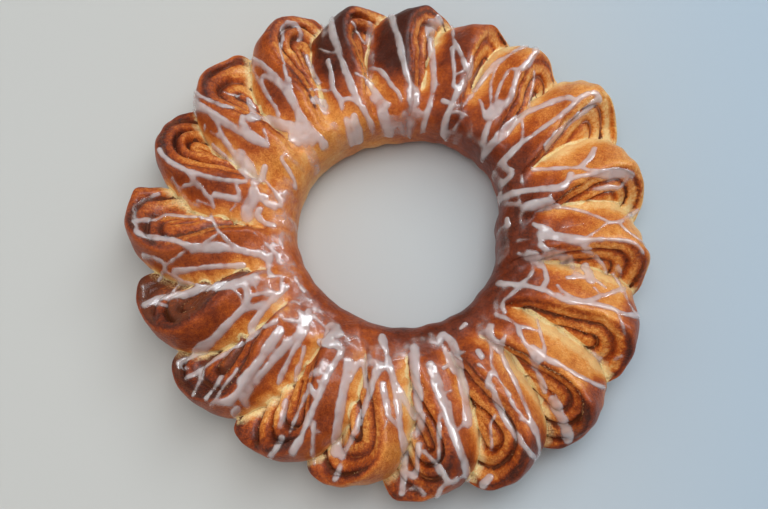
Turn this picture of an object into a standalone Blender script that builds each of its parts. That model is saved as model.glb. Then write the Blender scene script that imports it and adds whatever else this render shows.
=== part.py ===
"""Cinnamon roll wreath: one ring of sweet dough with a cinnamon filling rolled into it.

A long filled roll is joined into a ring and cut from the outside almost through to its inner
edge. Each of the nineteen cut rolls then leans over the one after it, so that its swirl faces
up and outwards. The dough is one solid, because the rolls stay joined along the inner edge and
bake together. The filling is a spiral strip in each roll, in a slot of its own.

Units are metres. +Z is up, the wreath rests on z = 0, and the origin is under its middle.
"""

import math
from collections import namedtuple

import bmesh
import bpy
from mathutils import Matrix, Vector

# The ring's core, which all the rolls grow out of: a smooth inner band and a low foot.
HOLE_CENTRE = Vector((0.0083, 0.0049, 0.0))
HOLE_RADIUS = 0.067
BAND_WIDTH = 0.058
BAND_HEIGHT = 0.049
BAND_ARC = (180, 150, 120, 90, 55)  # degrees along the band's round top, from the hole outwards
FOOT_REACH = 0.138
FOOT_HEIGHT = 0.012
CORE_SEGMENTS = 32

# The sizes below are measured round a point near the ring's middle. This is the wreath's middle.
WREATH_MIDDLE = Vector((0.00095, -0.0054, 0.0))

# The rolls: where each tip lies, how far it reaches, how far the roll leans over, and how far it
# slants away from the radius.
ROLL_TIPS = (  # degrees round the ring, metres from the origin, degrees from upright, degrees
    (357.2, 0.1707, 27.0, -8.8),
    (15.3, 0.1744, 28.5, -9.0),
    (32.0, 0.1777, 32.8, -13.0),
    (49.4, 0.1661, 29.8, -13.9),
    (66.6, 0.1640, 29.4, -5.8),
    (85.1, 0.1635, 33.8, 1.5),
    (103.8, 0.1615, 40.4, 8.1),
    (121.3, 0.1685, 46.4, 12.2),
    (143.8, 0.1649, 56.0, 14.6),
    (161.0, 0.1693, 56.0, 13.6),
    (185.2, 0.1697, 56.0, 15.6),
    (206.4, 0.1673, 56.0, 12.2),
    (226.0, 0.1679, 55.8, 8.4),
    (249.7, 0.1649, 56.0, 14.7),
    (266.4, 0.1677, 48.9, 6.4),
    (283.7, 0.1755, 44.8, 2.4),
    (301.3, 0.1823, 43.0, 5.3),
    (317.9, 0.1831, 36.9, -1.2),
    (337.3, 0.1787, 30.7, -5.8),
)
Roll = namedtuple("Roll", "number angle reach lean slant front_gap back_gap")
ROLL_AXIS_HEIGHT = 0.024
ROLL_HALF_HEIGHT = 0.031
COIL_FROM_TIP = 0.043
ROOT_RADIUS = 0.078
ROOT_LEAN = math.radians(16)
FULL_LEAN_RADIUS = 0.155
ROLL_OVERLAP = 0.0018

# The rim of a cut roll swells: the disc is smaller at its two cut faces than between them.
OUTLINE_POINTS = 12
OUTLINE_BLUNTNESS = 2.9
RIM_LAYERS = ((-1.0, 0.92), (-0.72, 0.99), (0.0, 1.01), (0.65, 0.97), (1.0, 0.84))
FACE_DOME = 0.003
FACE_DOME_SHARE = 0.42

# The filling: a strip wound in the roll, from near the coil's middle to just under the skin.
FILLING_THICKNESS = 0.0022
FILLING_TURNS = 1.75
FILLING_FIRST = 0.14
FILLING_LAST = 0.74
FILLING_STEPS_PER_TURN = 8
FILLING_RECESS = 0.0006
FILLING_DEPTH_SHARE = 0.55
SLOT_CLEARANCE = 0.0004
SLOT_ABOVE_FACE = 0.002

SHARP_ANGLE = math.radians(50)
DOUGH_COLOUR = (0.52, 0.21, 0.07, 1.0)
FILLING_COLOUR = (0.13, 0.045, 0.018, 1.0)


def clear_scene():
    """Empties the scene, the startup objects included."""
    for obj in list(bpy.data.objects):
        bpy.data.objects.remove(obj)


def make_material(name, colour, roughness):
    """A plain food material."""
    material = bpy.data.materials.new(name)
    material.use_nodes = True
    shader = material.node_tree.nodes["Principled BSDF"]
    shader.inputs["Base Color"].default_value = colour
    shader.inputs["Roughness"].default_value = roughness
    shader.inputs["Metallic"].default_value = 0.0
    return material


def make_object(name, shape, material, helpers=None):
    """A smooth shaded object from a bmesh, in the scene or in a collection of helpers."""
    mesh = bpy.data.meshes.new(name)
    bmesh.ops.recalc_face_normals(shape, faces=shape.faces[:])
    shape.to_mesh(mesh)
    shape.free()
    mesh.materials.append(material)
    mesh.shade_smooth()
    mesh.set_sharp_from_angle(angle=SHARP_ANGLE)
    obj = bpy.data.objects.new(name, mesh)
    collection = helpers or bpy.context.scene.collection
    collection.objects.link(obj)
    if helpers:
        obj.hide_render = True
        obj.display_type = "WIRE"
    return obj


def helper_collection(name):
    """A collection for the shapes that a Boolean joins or cuts."""
    collection = bpy.data.collections.new(name)
    bpy.context.scene.collection.children.link(collection)
    return collection


def add_boolean(obj, operation, collection):
    """Joins a collection's shapes to the object, or cuts them from it."""
    modifier = obj.modifiers.new(operation.title(), "BOOLEAN")
    modifier.operation = operation
    modifier.operand_type = "COLLECTION"
    modifier.collection = collection
    modifier.solver = "EXACT"


def all_rolls():
    """The nineteen rolls, each with half the gap to the roll on either side of it."""
    rolls = []
    for number, (angle, reach, lean, slant) in enumerate(ROLL_TIPS):
        before = ROLL_TIPS[number - 1][0]
        after = ROLL_TIPS[(number + 1) % len(ROLL_TIPS)][0]
        front_gap = math.radians((angle - before) % 360 / 2)
        back_gap = math.radians((after - angle) % 360 / 2)
        turned = (math.radians(angle), reach, math.radians(lean), math.tan(math.radians(slant)))
        rolls.append(Roll(number + 1, *turned, front_gap, back_gap))
    return rolls


def coil_radius(roll):
    """Distance from the origin to the middle of the roll's swirl."""
    return roll.reach - COIL_FROM_TIP


def lean_at(roll, along):
    """How far the roll leans: nearly upright at its root, then fully leaning out to the tip."""
    share = (coil_radius(roll) + along - ROOT_RADIUS) / (FULL_LEAN_RADIUS - ROOT_RADIUS)
    share = min(max(share, 0.0), 1.0)
    return ROOT_LEAN + (roll.lean - ROOT_LEAN) * share * share * (3.0 - 2.0 * share)


def half_thickness(roll, along, side):
    """Half the roll's thickness on its front (side < 0) or back, which widens outwards."""
    gap = roll.front_gap if side < 0 else roll.back_gap
    half_pitch = (coil_radius(roll) + along) * math.tan(gap)
    return half_pitch * math.cos(lean_at(roll, along)) + ROLL_OVERLAP


def roll_point(roll, along, up, through):
    """Where a point of the roll lies: along the radius, up the disc and through it."""
    lean = lean_at(roll, along)
    sideways = through * math.cos(lean) + up * math.sin(lean) - roll.slant * along
    height = ROLL_AXIS_HEIGHT + up * math.cos(lean) - through * math.sin(lean)
    outwards = Vector((math.cos(roll.angle), math.sin(roll.angle), 0.0))
    onwards = Vector((-math.sin(roll.angle), math.cos(roll.angle), 0.0))
    middle = outwards * (coil_radius(roll) + along)
    return middle + onwards * sideways + Vector((0.0, 0.0, height))


def half_length(roll, along):
    """The disc's half length on the side of the tip, or on the longer side of the root."""
    return COIL_FROM_TIP if along > 0 else coil_radius(roll) - ROOT_RADIUS


def disc_point(roll, turn, share):
    """(along, up) on a blunt oval round the swirl's middle. At share 1 it is the skin."""
    power = OUTLINE_BLUNTNESS
    across, rise = math.cos(turn), math.sin(turn)
    radius = share * (abs(across) ** power + abs(rise) ** power) ** (-1 / power)
    return radius * half_length(roll, across) * across, radius * ROLL_HALF_HEIGHT * rise


def disc_share(roll, along, up):
    """The share at which a point of the disc lies: 0 at the swirl's middle, 1 at the skin."""
    power = OUTLINE_BLUNTNESS
    across = abs(along) / half_length(roll, along)
    return (across**power + (abs(up) / ROLL_HALF_HEIGHT) ** power) ** (1 / power)


def core_profile():
    """The core's outline as (radius, height): up the hole's side, over the band, to the foot."""
    half_width, half_height = BAND_WIDTH / 2, BAND_HEIGHT / 2
    points = [(HOLE_RADIUS + 0.004, 0.0), (HOLE_RADIUS + 0.001, 0.006)]
    for degrees in BAND_ARC:
        turn = math.radians(degrees)
        radius = HOLE_RADIUS + half_width + half_width * math.cos(turn)
        points.append((radius, half_height + half_height * math.sin(turn)))
    return points + [(FOOT_REACH, FOOT_HEIGHT), (FOOT_REACH, 0.0)]


def build_core(material):
    """The ring that carries the rolls, spun from its profile."""
    shape = bmesh.new()
    corners = []
    for radius, height in core_profile():
        corners.append(shape.verts.new(HOLE_CENTRE + Vector((radius, 0.0, height))))
    edges = [shape.edges.new(pair) for pair in zip(corners, corners[1:] + corners[:1])]
    bmesh.ops.spin(
        shape,
        geom=corners + edges,
        cent=HOLE_CENTRE,
        axis=(0, 0, 1),
        angle=math.tau,
        steps=CORE_SEGMENTS,
        use_merge=True,
    )
    bmesh.ops.remove_doubles(shape, verts=shape.verts[:], dist=1e-6)
    return make_object("dough", shape, material)


def outline_ring(shape, roll, share, side, extra=0.0, every=1):
    """One closed outline of the roll, at a share of the disc's size and of its thickness."""
    ring = []
    for step in range(0, OUTLINE_POINTS, every):
        along, up = disc_point(roll, math.tau * (step + 0.5) / OUTLINE_POINTS, share)
        through = side * half_thickness(roll, along, side) - extra
        ring.append(shape.verts.new(roll_point(roll, along, up, through)))
    return ring


def build_roll(roll, material, helpers):
    """One cut roll: a swollen disc that leans, with a low dome on its front face."""
    shape = bmesh.new()
    layers = [outline_ring(shape, roll, share, side) for side, share in RIM_LAYERS]
    for ring, following in zip(layers, layers[1:]):
        for step in range(OUTLINE_POINTS):
            near = (step + 1) % OUTLINE_POINTS
            shape.faces.new((ring[step], ring[near], following[near], following[step]))
    shape.faces.new(layers[-1])
    dome = outline_ring(shape, roll, FACE_DOME_SHARE, -1.0, extra=FACE_DOME, every=2)
    shape.faces.new(dome)
    front = layers[0]
    for step, near in enumerate(dome):
        far = dome[(step + 1) % len(dome)]
        first, middle, last = (front[(2 * step + k) % OUTLINE_POINTS] for k in range(3))
        shape.faces.new((first, middle, near))
        shape.faces.new((middle, far, near))
        shape.faces.new((middle, last, far))
    return make_object(f"roll_{roll.number:02d}", shape, material, helpers)


def front_face(roll, along, up):
    """Where the domed front face lies, measured through the roll."""
    rim_share = RIM_LAYERS[0][1]
    rise = (rim_share - disc_share(roll, along, up)) / (rim_share - FACE_DOME_SHARE)
    return -half_thickness(roll, along, -1) - FACE_DOME * min(max(rise, 0.0), 1.0)


def spiral_line(roll):
    """The filling's middle line on the disc, from the coil's middle outwards."""
    steps = round(FILLING_TURNS * FILLING_STEPS_PER_TURN)
    line = []
    for step in range(steps + 1):
        turn = math.tau * step / FILLING_STEPS_PER_TURN
        share = FILLING_FIRST + (FILLING_LAST - FILLING_FIRST) * step / steps
        line.append(Vector(disc_point(roll, turn, share)))
    return line


def lengthen(line, distance):
    """The line with both its ends moved outwards."""
    first = line[0] + (line[0] - line[1]).normalized() * distance
    last = line[-1] + (line[-1] - line[-2]).normalized() * distance
    return [first] + line[1:-1] + [last]


def offset_line(line, distance):
    """The line moved sideways, with mitred corners so that a strip keeps its thickness."""
    headings = [(after - before).normalized() for before, after in zip(line, line[1:])]
    moved = []
    for point, arriving, leaving in zip(line, headings[:1] + headings, headings + headings[-1:]):
        normal_in = Vector((-arriving.y, arriving.x))
        normal_out = Vector((-leaving.y, leaving.x))
        mitre = (normal_in + normal_out).normalized()
        moved.append(point + mitre * distance / mitre.dot(normal_out))
    return moved


def build_strip(roll, name, grow, above, material, helpers=None):
    """A spiral strip in the roll: the filling, or its slot, which is larger by grow all round."""
    line = lengthen(spiral_line(roll), grow)
    half = FILLING_THICKNESS / 2 + grow
    shape = bmesh.new()
    rows = []
    for left, right in zip(offset_line(line, half), offset_line(line, -half)):
        row = []
        for point, at_face in ((left, True), (right, True), (right, False), (left, False)):
            depth = half_thickness(roll, point.x, 1) * (2 * FILLING_DEPTH_SHARE - 1) + grow
            through = front_face(roll, point.x, point.y) - above if at_face else depth
            row.append(shape.verts.new(roll_point(roll, point.x, point.y, through)))
        rows.append(row)
    for row, following in zip(rows, rows[1:]):
        for near in range(4):
            far = (near + 1) % 4
            shape.faces.new((row[near], row[far], following[far]))
            shape.faces.new((row[near], following[far], following[near]))
    shape.faces.new(rows[0])
    shape.faces.new(rows[-1])
    return make_object(name, shape, material, helpers)


def build_underside_cutter(material, helpers):
    """A block under z = 0, which gives the wreath its flat underside."""
    shape = bmesh.new()
    bmesh.ops.create_cube(shape, size=1.0, matrix=Matrix.Translation((0.0, 0.0, -0.5)))
    return make_object("underside_cutter", shape, material, helpers)


def centre_on_origin():
    """Moves every shape sideways so that the origin is under the middle of the wreath."""
    for obj in bpy.data.objects:
        obj.data.transform(Matrix.Translation(-WREATH_MIDDLE))


def main():
    clear_scene()
    dough = make_material("dough", DOUGH_COLOUR, 0.5)
    filling = make_material("filling", FILLING_COLOUR, 0.6)
    rolls_to_join = helper_collection("rolls_to_join")
    shapes_to_cut = helper_collection("shapes_to_cut")
    wreath = build_core(dough)
    build_underside_cutter(dough, shapes_to_cut)
    for roll in all_rolls():
        build_roll(roll, dough, rolls_to_join)
        slot_name = f"slot_{roll.number:02d}"
        build_strip(roll, slot_name, SLOT_CLEARANCE, SLOT_ABOVE_FACE, filling, shapes_to_cut)
        build_strip(roll, f"filling_{roll.number:02d}", 0.0, -FILLING_RECESS, filling)
    add_boolean(wreath, "UNION", rolls_to_join)
    add_boolean(wreath, "DIFFERENCE", shapes_to_cut)
    centre_on_origin()


main()
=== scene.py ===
"""Cinnamon roll wreath: the baked dough, its filling, the icing and the sugar, on a pale floor.

The file is laid out as an add-on and run as a script. One operator makes each kind of piece.
The dough and the icing are carved as distance fields on a grid and turned into meshes.
Units are metres, +Z is up, and the wreath rests on z = 0.
"""

import functools
import math
from collections import namedtuple

import bpy
import numpy as np
import openvdb
from mathutils import Matrix, Vector


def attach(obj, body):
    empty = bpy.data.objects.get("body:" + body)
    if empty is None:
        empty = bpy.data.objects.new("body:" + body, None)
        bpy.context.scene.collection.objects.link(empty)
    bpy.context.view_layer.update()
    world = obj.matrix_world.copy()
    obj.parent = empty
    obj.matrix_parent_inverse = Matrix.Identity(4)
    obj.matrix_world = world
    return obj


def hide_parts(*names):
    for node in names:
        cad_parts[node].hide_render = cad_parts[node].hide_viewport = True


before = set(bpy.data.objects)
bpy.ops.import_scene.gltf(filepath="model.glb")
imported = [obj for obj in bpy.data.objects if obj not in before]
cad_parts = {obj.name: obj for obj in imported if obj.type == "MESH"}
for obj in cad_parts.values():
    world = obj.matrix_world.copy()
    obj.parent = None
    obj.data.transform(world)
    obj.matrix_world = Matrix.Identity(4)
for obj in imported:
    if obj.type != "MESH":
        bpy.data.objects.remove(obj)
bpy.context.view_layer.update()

bl_info = {
    "name": "Cinnamon Roll Wreath",
    "version": (1, 0, 0),
    "blender": (4, 5, 0),
    "location": "3D View > Sidebar > Wreath",
    "description": "Makes a baked cinnamon roll wreath with icing",
    "category": "Add Mesh",
}

BODY = "root"
SEED = 19

# The rolls: where each tip lies, how far it reaches, how far the roll leans and slants, how far
# its swirl is wound on, and how far the swirl's middle lies above the middle of the roll.
ROLL_TIPS = (  # degrees, metres, degrees, degrees, turns, metres
    (357.2, 0.1707, 27.0, -8.8, 0.1, 0.0026),
    (15.3, 0.1744, 28.5, -9.0, 0.35, 0.005),
    (32.0, 0.1777, 32.8, -13.0, 0.2, 0.004),
    (49.4, 0.1661, 29.8, -13.9, 0.55, 0.005),
    (66.6, 0.1640, 29.4, -5.8, 0.05, 0.005),
    (85.1, 0.1635, 33.8, 1.5, 0.3, 0.005),
    (103.8, 0.1615, 40.4, 8.1, 0.75, 0.005),
    (121.3, 0.1685, 46.4, 12.2, 0.15, 0.004),
    (143.8, 0.1649, 56.0, 14.6, 0.4, 0.0026),
    (161.0, 0.1693, 56.0, 13.6, 0.25, 0.003),
    (185.2, 0.1697, 56.0, 15.6, 0.05, 0.012),
    (206.4, 0.1673, 56.0, 12.2, 0.6, 0.014),
    (226.0, 0.1679, 55.8, 8.4, 0.3, 0.009),
    (249.7, 0.1649, 56.0, 14.7, 0.1, 0.012),
    (266.4, 0.1677, 48.9, 6.4, 0.35, 0.01),
    (283.7, 0.1755, 44.8, 2.4, 0.8, 0.012),
    (301.3, 0.1823, 43.0, 5.3, 0.2, 0.006),
    (317.9, 0.1831, 36.9, -1.2, 0.05, 0.01),
    (337.3, 0.1787, 30.7, -5.8, 0.15, 0.005),
)
# How browned each roll's cut face and its skin are, and how much cinnamon sugar lies on it.
ROLL_LOOKS = (
    (0.42, 0.34, 0.45),
    (0.38, 0.34, 0.35),
    (0.32, 0.36, 0.35),
    (0.38, 0.42, 0.45),
    (0.42, 0.72, 0.25),
    (0.50, 1.06, 0.60),
    (0.48, 1.10, 0.40),
    (0.52, 0.62, 0.35),
    (0.48, 0.50, 0.45),
    (0.50, 0.66, 0.35),
    (0.56, 0.54, 0.60),
    (0.72, 0.58, 0.95),
    (0.72, 0.54, 0.85),
    (0.56, 0.56, 0.45),
    (0.46, 0.36, 0.50),
    (0.54, 0.50, 0.60),
    (0.46, 0.38, 0.50),
    (0.48, 0.22, 0.75),
    (0.46, 0.30, 0.50),
)
# How browned the inner band is: degrees round the ring, and the share.
BAND_BROWNING = (
    (0, 0.84),
    (30, 0.82),
    (60, 0.66),
    (85, 0.42),
    (105, 0.24),
    (140, 0.22),
    (180, 0.40),
    (210, 0.50),
    (250, 0.66),
    (280, 0.76),
    (310, 0.84),
    (340, 0.85),
)
# The drizzled icing, stroke by stroke, as seen from the camera: width in millimetres, share of the
# full height, then points along the stroke as degrees round the view and distance from its middle.
ICING_STROKES = (
    (3.3, 1, -1.5, 253, 0.3, 248, 1.4, 238, 2, 222, 1.9, 205, 1.6, 192),
    (3.2, 1, 0.3, 254, 2, 247, 4.3, 235, 6.2, 230),
    (4, 1, 8.3, 250, 7.3, 240, 6.3, 230, 6.3, 221),
    (3.7, 1, 6.3, 220, 8, 211, 11, 192, 13.5, 172, 15, 163),
    (2.5, 0.9, 6.3, 218, 4.5, 207, 3, 197, 2, 190),
    (8, 1, 1.8, 195, 2.6, 180, 3.6, 165, 4.5, 152),
    (6, 1, 3.5, 165, 6, 158, 9, 146),
    (3.5, 0.9, 3.5, 150, 0.5, 150, -1.2, 156),
    (3, 0.5, 3, 140, 2.8, 128),
    (2, 0.5, 6.8, 195, 6.5, 172),
    (4, 1.4, 10, 120, 13.3, 120),
    (3, 0.8, 10.5, 133, 13.5, 134),
    (8, 0.3, -3, 113, 8, 113),
    (4, 1, 16.3, 253, 17.6, 246, 19, 233, 20, 221, 21.5, 211, 22.8, 205, 24.3, 192, 26.3, 175,
     28.5, 162),
    (3.5, 1, 16.5, 248, 17.3, 236, 18, 226, 19.5, 215, 20.5, 200, 20, 188),
    (3.5, 1, 15.8, 246, 14.5, 236, 15.3, 222, 15.8, 212),
    (4.5, 1.2, 22.8, 206, 24, 219, 25.8, 227),
    (6, 1, 22, 195, 20, 188, 19.3, 180, 20.3, 168, 21.5, 155, 22.8, 142, 23.6, 128, 23, 115),
    (8, 0.9, 15.3, 165, 16, 155, 16.5, 143),
    (3, 0.7, 14.5, 137, 18, 137, 21, 138),
    (4, 0.7, 18.3, 135, 20.5, 122),
    (3, 0.9, 14.3, 168, 17.8, 168),
    (3, 1, 26, 147, 28.5, 150),
    (5, 0.9, 29, 130, 31, 143, 34, 140, 37, 139),
    (3, 0.7, 29, 128, 33, 127, 36, 128),
    (4, 1, 35.3, 254, 34.8, 238, 34.6, 220, 34, 203, 32.5, 184),
    (5, 1, 35, 256, 36.8, 257, 38, 247, 37.9, 235, 37.6, 218, 37.8, 200, 38, 180, 38.2, 165, 37.6,
     150, 37, 138),
    (6.5, 1, 38.5, 236, 40.3, 230, 42, 215, 43.8, 199, 44.8, 185, 45, 165, 44.8, 145, 44.6, 132),
    (3, 1, 38.5, 168, 41, 176, 43.8, 183),
    (2.8, 1, 44.6, 195, 46.3, 202, 48.3, 215, 50.5, 227),
    (5, 1, 53, 244, 55, 244, 57, 235, 58.7, 222, 60, 212, 61, 195, 61.6, 178),
    (5, 1, 53.3, 243, 53, 230, 53.8, 220),
    (5.5, 1, 54, 218, 52.5, 204, 51, 189, 51.5, 175, 51.6, 162, 50, 148, 48, 140),
    (3.3, 1, 54.3, 218, 56, 214, 56, 203, 55, 187, 53, 174),
    (3, 1, 58.5, 222, 59.3, 208, 58, 190, 56, 180, 53.5, 170),
    (3.5, 1, 58.8, 172, 57, 169, 54, 161),
    (10, 1, 52.3, 180, 52.3, 165),
    (3, 0.4, 44.5, 133, 50, 138, 55, 138, 58, 146),
    (1.5, 0.7, 54.5, 141, 57.5, 150, 60, 153),
    (5, 0.5, 58, 132, 58.5, 122),
    (4, 0.8, 61.7, 172, 62.5, 160, 65, 155, 67, 156),
    (5, 1, 66.5, 206, 65.3, 192, 65.8, 178, 66.5, 160, 66.3, 140, 64.8, 124),
    (4, 1, 66.5, 192, 68, 199, 70, 206, 73, 217, 74.5, 234),
    (3.8, 1, 65.8, 176, 68.3, 173, 69.5, 184, 71.5, 198, 72.8, 208),
    (2.5, 1, 66.8, 192, 68.8, 185),
    (3.5, 1.4, 68.5, 155.5, 70.2, 155.5),
    (2.5, 0.7, 68.7, 240, 71.5, 233),
    (3, 0.7, 61, 150, 61, 135, 63, 125, 66, 128),
    (3, 0.8, 60.5, 152, 64, 150, 66.3, 145),
    (5.5, 1, 77.6, 233, 79.3, 221, 78.5, 206, 76.6, 186, 75.2, 172, 74.5, 158, 74.4, 140, 74.5,
     125),
    (4, 1, 77.5, 232, 80.2, 226, 80, 212),
    (2.5, 0.9, 73, 170, 74.6, 166),
    (5.5, 1, 90.5, 238, 89.3, 225, 87.6, 207, 86, 188, 84.4, 173, 82.3, 163, 80.5, 157, 79.7, 147),
    (9, 1, 81.5, 158, 81.5, 146),
    (4, 1, 96.5, 179, 94, 178, 91.7, 171, 89.3, 161, 87, 155, 85.7, 146),
    (6, 1, 97.5, 165, 95.5, 155, 93.5, 147, 91, 142),
    (9, 0.8, 96, 150, 94, 140, 92.5, 128, 91, 115),
    (6, 0.6, 76, 134, 80, 138, 84, 133),
    (7, 0.5, 80, 128, 86, 124, 92, 124),
    (5, 0.4, 80, 112, 84, 110),
    (4, 0.5, 85, 105, 90, 104, 96, 107),
    (6, 0.6, 94.8, 222, 95.6, 205, 96, 185, 96.8, 170),
    (3.5, 1, 99.6, 228, 98.6, 216, 97.3, 205),
    (3, 1, 101.3, 177, 99, 171, 97, 161, 95.3, 148),
    (5.5, 1, 104.5, 238, 105, 222, 104.8, 205, 104.3, 182, 103.4, 165, 102.3, 148),
    (6, 0.7, 104.5, 238, 107, 228),
    (2.3, 1, 105, 201, 107.5, 204, 110, 211),
    (4, 1, 102.3, 147, 105, 153, 109, 155),
    (5, 1, 101, 141, 99.8, 130, 98.4, 120),
    (7, 1, 105.5, 135, 106, 124, 105.8, 115),
    (5, 0.6, 106.5, 235, 107.3, 222),
    (4.5, 1.1, 108.4, 196, 108.7, 184, 109.7, 171, 109.2, 160, 108, 153),
    (3, 1, 109.8, 168, 112.3, 168, 114.5, 173, 117, 176),
    (4.5, 1, 113.5, 208, 114, 194, 113.6, 178),
    (7, 0.9, 117.3, 164, 115.3, 160, 115.5, 150),
    (4, 1, 108.5, 155, 109, 146),
    (6, 0.8, 108.8, 135, 110, 115),
    (7, 0.4, 115, 133, 115.3, 105),
    (4, 1, 114.5, 246, 113, 240, 112.7, 230, 114, 225),
    (3.5, 1, 114.3, 247, 116.3, 243, 117.3, 234, 118.8, 227, 119.8, 215, 120.8, 205, 121.8, 194),
    (4.5, 1, 121, 196, 122.5, 187, 123.5, 198, 124.5, 213, 125.5, 225, 126.8, 231),
    (5.5, 1, 123, 186, 123.6, 170, 124.3, 155, 123.8, 140, 122.8, 128),
    (4, 1.4, 121.8, 121, 124.3, 121),
    (4, 1, 124.3, 196, 125.3, 206, 127, 213, 128.3, 207, 129, 195, 129.3, 182, 130.3, 172),
    (3.5, 1, 126.5, 228, 128, 222, 128.4, 210),
    (3.5, 1, 124.3, 196, 124.6, 180, 125, 165, 126, 157),
    (9, 1, 125, 145, 128, 150, 131, 160, 134, 175, 137, 190),
    (12, 0.9, 125.5, 135, 129, 137, 131, 145),
    (8, 0.5, 130, 125, 132, 112, 134, 103),
    (6, 0.9, 133.8, 203, 135.3, 193, 136.5, 188),
    (3, 1, 137, 227, 136.3, 220, 135.2, 214),
    (4, 1, 141.9, 248, 141, 233, 139.8, 219, 138.6, 210),
    (5, 1, 144, 240, 143, 226, 143.1, 208, 142.4, 188, 141.8, 170, 140.5, 160),
    (5, 1, 138.5, 197, 140, 193, 140.8, 180, 140.3, 163),
    (3, 1, 137, 172, 138.3, 165, 140.5, 158),
    (3.2, 1, 138.5, 140, 141, 139, 143.5, 124, 146, 114, 148.3, 111),
    (5, 0.4, 138.3, 140, 138.3, 125, 137.8, 108),
    (4.5, 1, 145, 239, 143.6, 230, 143.8, 218, 145.2, 208, 147, 198, 148.5, 186, 150, 176, 151.5,
     166),
    (3, 1.2, 147, 221, 147.6, 219),
    (2.5, 0.9, 147.3, 214, 147.2, 202),
    (3, 1, 150.6, 204, 151.4, 188, 151.8, 176),
    (10, 0.9, 149.5, 175, 151.5, 163, 153, 155),
    (6, 1, 147.7, 148, 150, 147, 152.5, 146, 154.5, 150),
    (3.5, 1, 152, 142, 153.2, 134, 154.5, 127, 156, 123, 158.5, 117, 160, 117),
    (2.5, 1, 151.8, 118, 154, 118),
    (5, 1, 157.2, 250, 158.5, 241, 159.2, 225, 159.8, 213, 161.5, 206, 162.2, 201),
    (4, 1, 159.3, 212, 159, 196, 158.3, 181, 157, 167, 155.5, 158),
    (2.5, 1, 162.3, 206, 163.8, 215, 165.6, 218),
    (3, 1, 162.8, 228, 164.6, 219),
    (3, 1, 162.3, 200, 164, 191, 165.5, 184, 167.5, 180),
    (4, 0.5, 165.6, 217, 167.5, 207, 168.3, 195),
    (2, 0.9, 166.5, 199, 167.2, 183),
    (5, 1, 163.3, 182, 163, 170, 162.5, 158),
    (4, 1, 158.5, 165, 160.5, 160, 163, 158),
    (9, 0.9, 158, 147, 161, 145, 165, 148, 168, 146),
    (7, 0.9, 159, 135, 160.5, 130, 160.8, 122),
    (4.5, 1.3, 164, 135, 166.5, 136, 168, 132, 169.5, 126, 169.7, 118),
    (3, 1, 165, 160, 167, 163),
    (9, 0.35, 154, 112, 156.5, 100),
    (9, 0.35, 168, 112, 168.3, 98),
    (3.5, 1, 167, 237, 168.5, 246, 170.5, 256, 172.5, 257, 174.5, 257),
    (4.5, 1, 174.3, 257, 173.6, 243, 173.3, 234, 171.8, 226, 171.6, 210, 171.3, 195, 171.5, 183),
    (3.5, 1, 170, 182, 172.3, 177, 174.5, 173, 176.5, 166, 178.5, 160, 180.5, 152),
    (5, 1, 176.5, 255, 177.6, 243, 177.8, 228, 178.4, 214, 179.6, 203, 180.6, 196),
    (3, 1, 174.5, 256, 176, 253),
    (2.5, 1, 180, 191, 178, 182, 175.8, 173),
    (1.8, 0.8, 174, 137, 177, 127, 181, 118),
    (1.8, 0.8, 176, 111, 181, 106),
    (6, 1, 180.6, 197, 180.2, 180, 180.6, 163, 181.8, 145, 183.5, 132, 185, 124),
    (6, 1.2, 182.5, 131, 184.5, 127, 186, 122),
    (3.5, 1, 179, 123, 181.5, 118, 184, 113, 187, 112),
    (4, 1.2, 184, 120, 188, 123, 192, 123, 194, 121),
    (3.2, 1, 182.2, 247, 183, 235, 184.3, 227, 186.3, 227, 188.3, 234),
    (2.5, 1, 185, 225, 183, 214, 181.4, 205),
    (2.5, 1, 186.5, 226, 188.2, 217, 189.8, 210),
    (4, 1, 186.4, 218, 186.5, 200, 186.4, 180, 186.8, 163, 187.2, 148),
    (6, 1, 193.3, 251, 192.8, 238, 192.6, 222),
    (9, 1, 192.8, 225, 192.8, 200, 193, 180, 193.3, 160, 193.5, 140),
    (3, 0.8, 189, 250, 191.5, 251),
    (4, 1, 193.8, 240, 194.8, 231),
    (3, 1, 190, 214, 192, 223),
    (2.5, 1, 190, 211, 191.3, 195),
    (5.5, 1, 209, 240, 209, 226, 208.3, 208, 206.8, 190, 205, 174, 203, 160, 200.5, 152, 197.5,
     149, 195, 150),
    (2.5, 0.9, 195.3, 162, 198, 158, 201, 158),
    (3.5, 1, 199.2, 147, 200.2, 135, 201.8, 126),
    (3, 0.9, 194.3, 140, 196, 141, 198.5, 140),
    (3, 0.9, 194, 125, 195, 113, 198, 114, 200.5, 117),
    (5, 1.1, 212, 163, 210, 159, 207.5, 147, 205.3, 135, 203.3, 122, 201.5, 111),
    (5, 1, 203, 156, 204, 146, 204.5, 138),
    (3.5, 1.2, 198, 99, 202, 99, 205, 97, 207, 96),
    (6, 0.4, 184, 108, 190, 108, 196, 106, 202, 106),
    (3, 1, 209, 112, 211, 108),
    (4.5, 1, 212.8, 242, 213.1, 226, 212.8, 208, 213.2, 192, 213.2, 172, 212.8, 150, 213, 136),
    (3.5, 1, 217, 246, 215.5, 235, 214, 226, 213, 225),
    (4, 0.6, 209.8, 243, 211, 236),
    (4, 1.1, 219.5, 238, 218.8, 226, 217.6, 212),
    (3.5, 1, 221.8, 240, 221.2, 230, 220, 217, 219.4, 205, 218.6, 196),
    (4.8, 1, 222.3, 232, 223.8, 222, 223.7, 208, 222.8, 192),
    (7, 1, 222.3, 200, 221.5, 180, 220.2, 165, 218.8, 150, 217.3, 138),
    (5.5, 1, 227.4, 213, 225.9, 209, 225.2, 195, 224.8, 178, 224, 160, 223.5, 142, 223, 130),
    (4, 1, 227, 229, 227.2, 222),
    (4.2, 1, 230.8, 176, 229.8, 167, 228.6, 155, 227.3, 142, 226, 129, 224.3, 117, 221.5, 108, 218,
     104),
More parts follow.
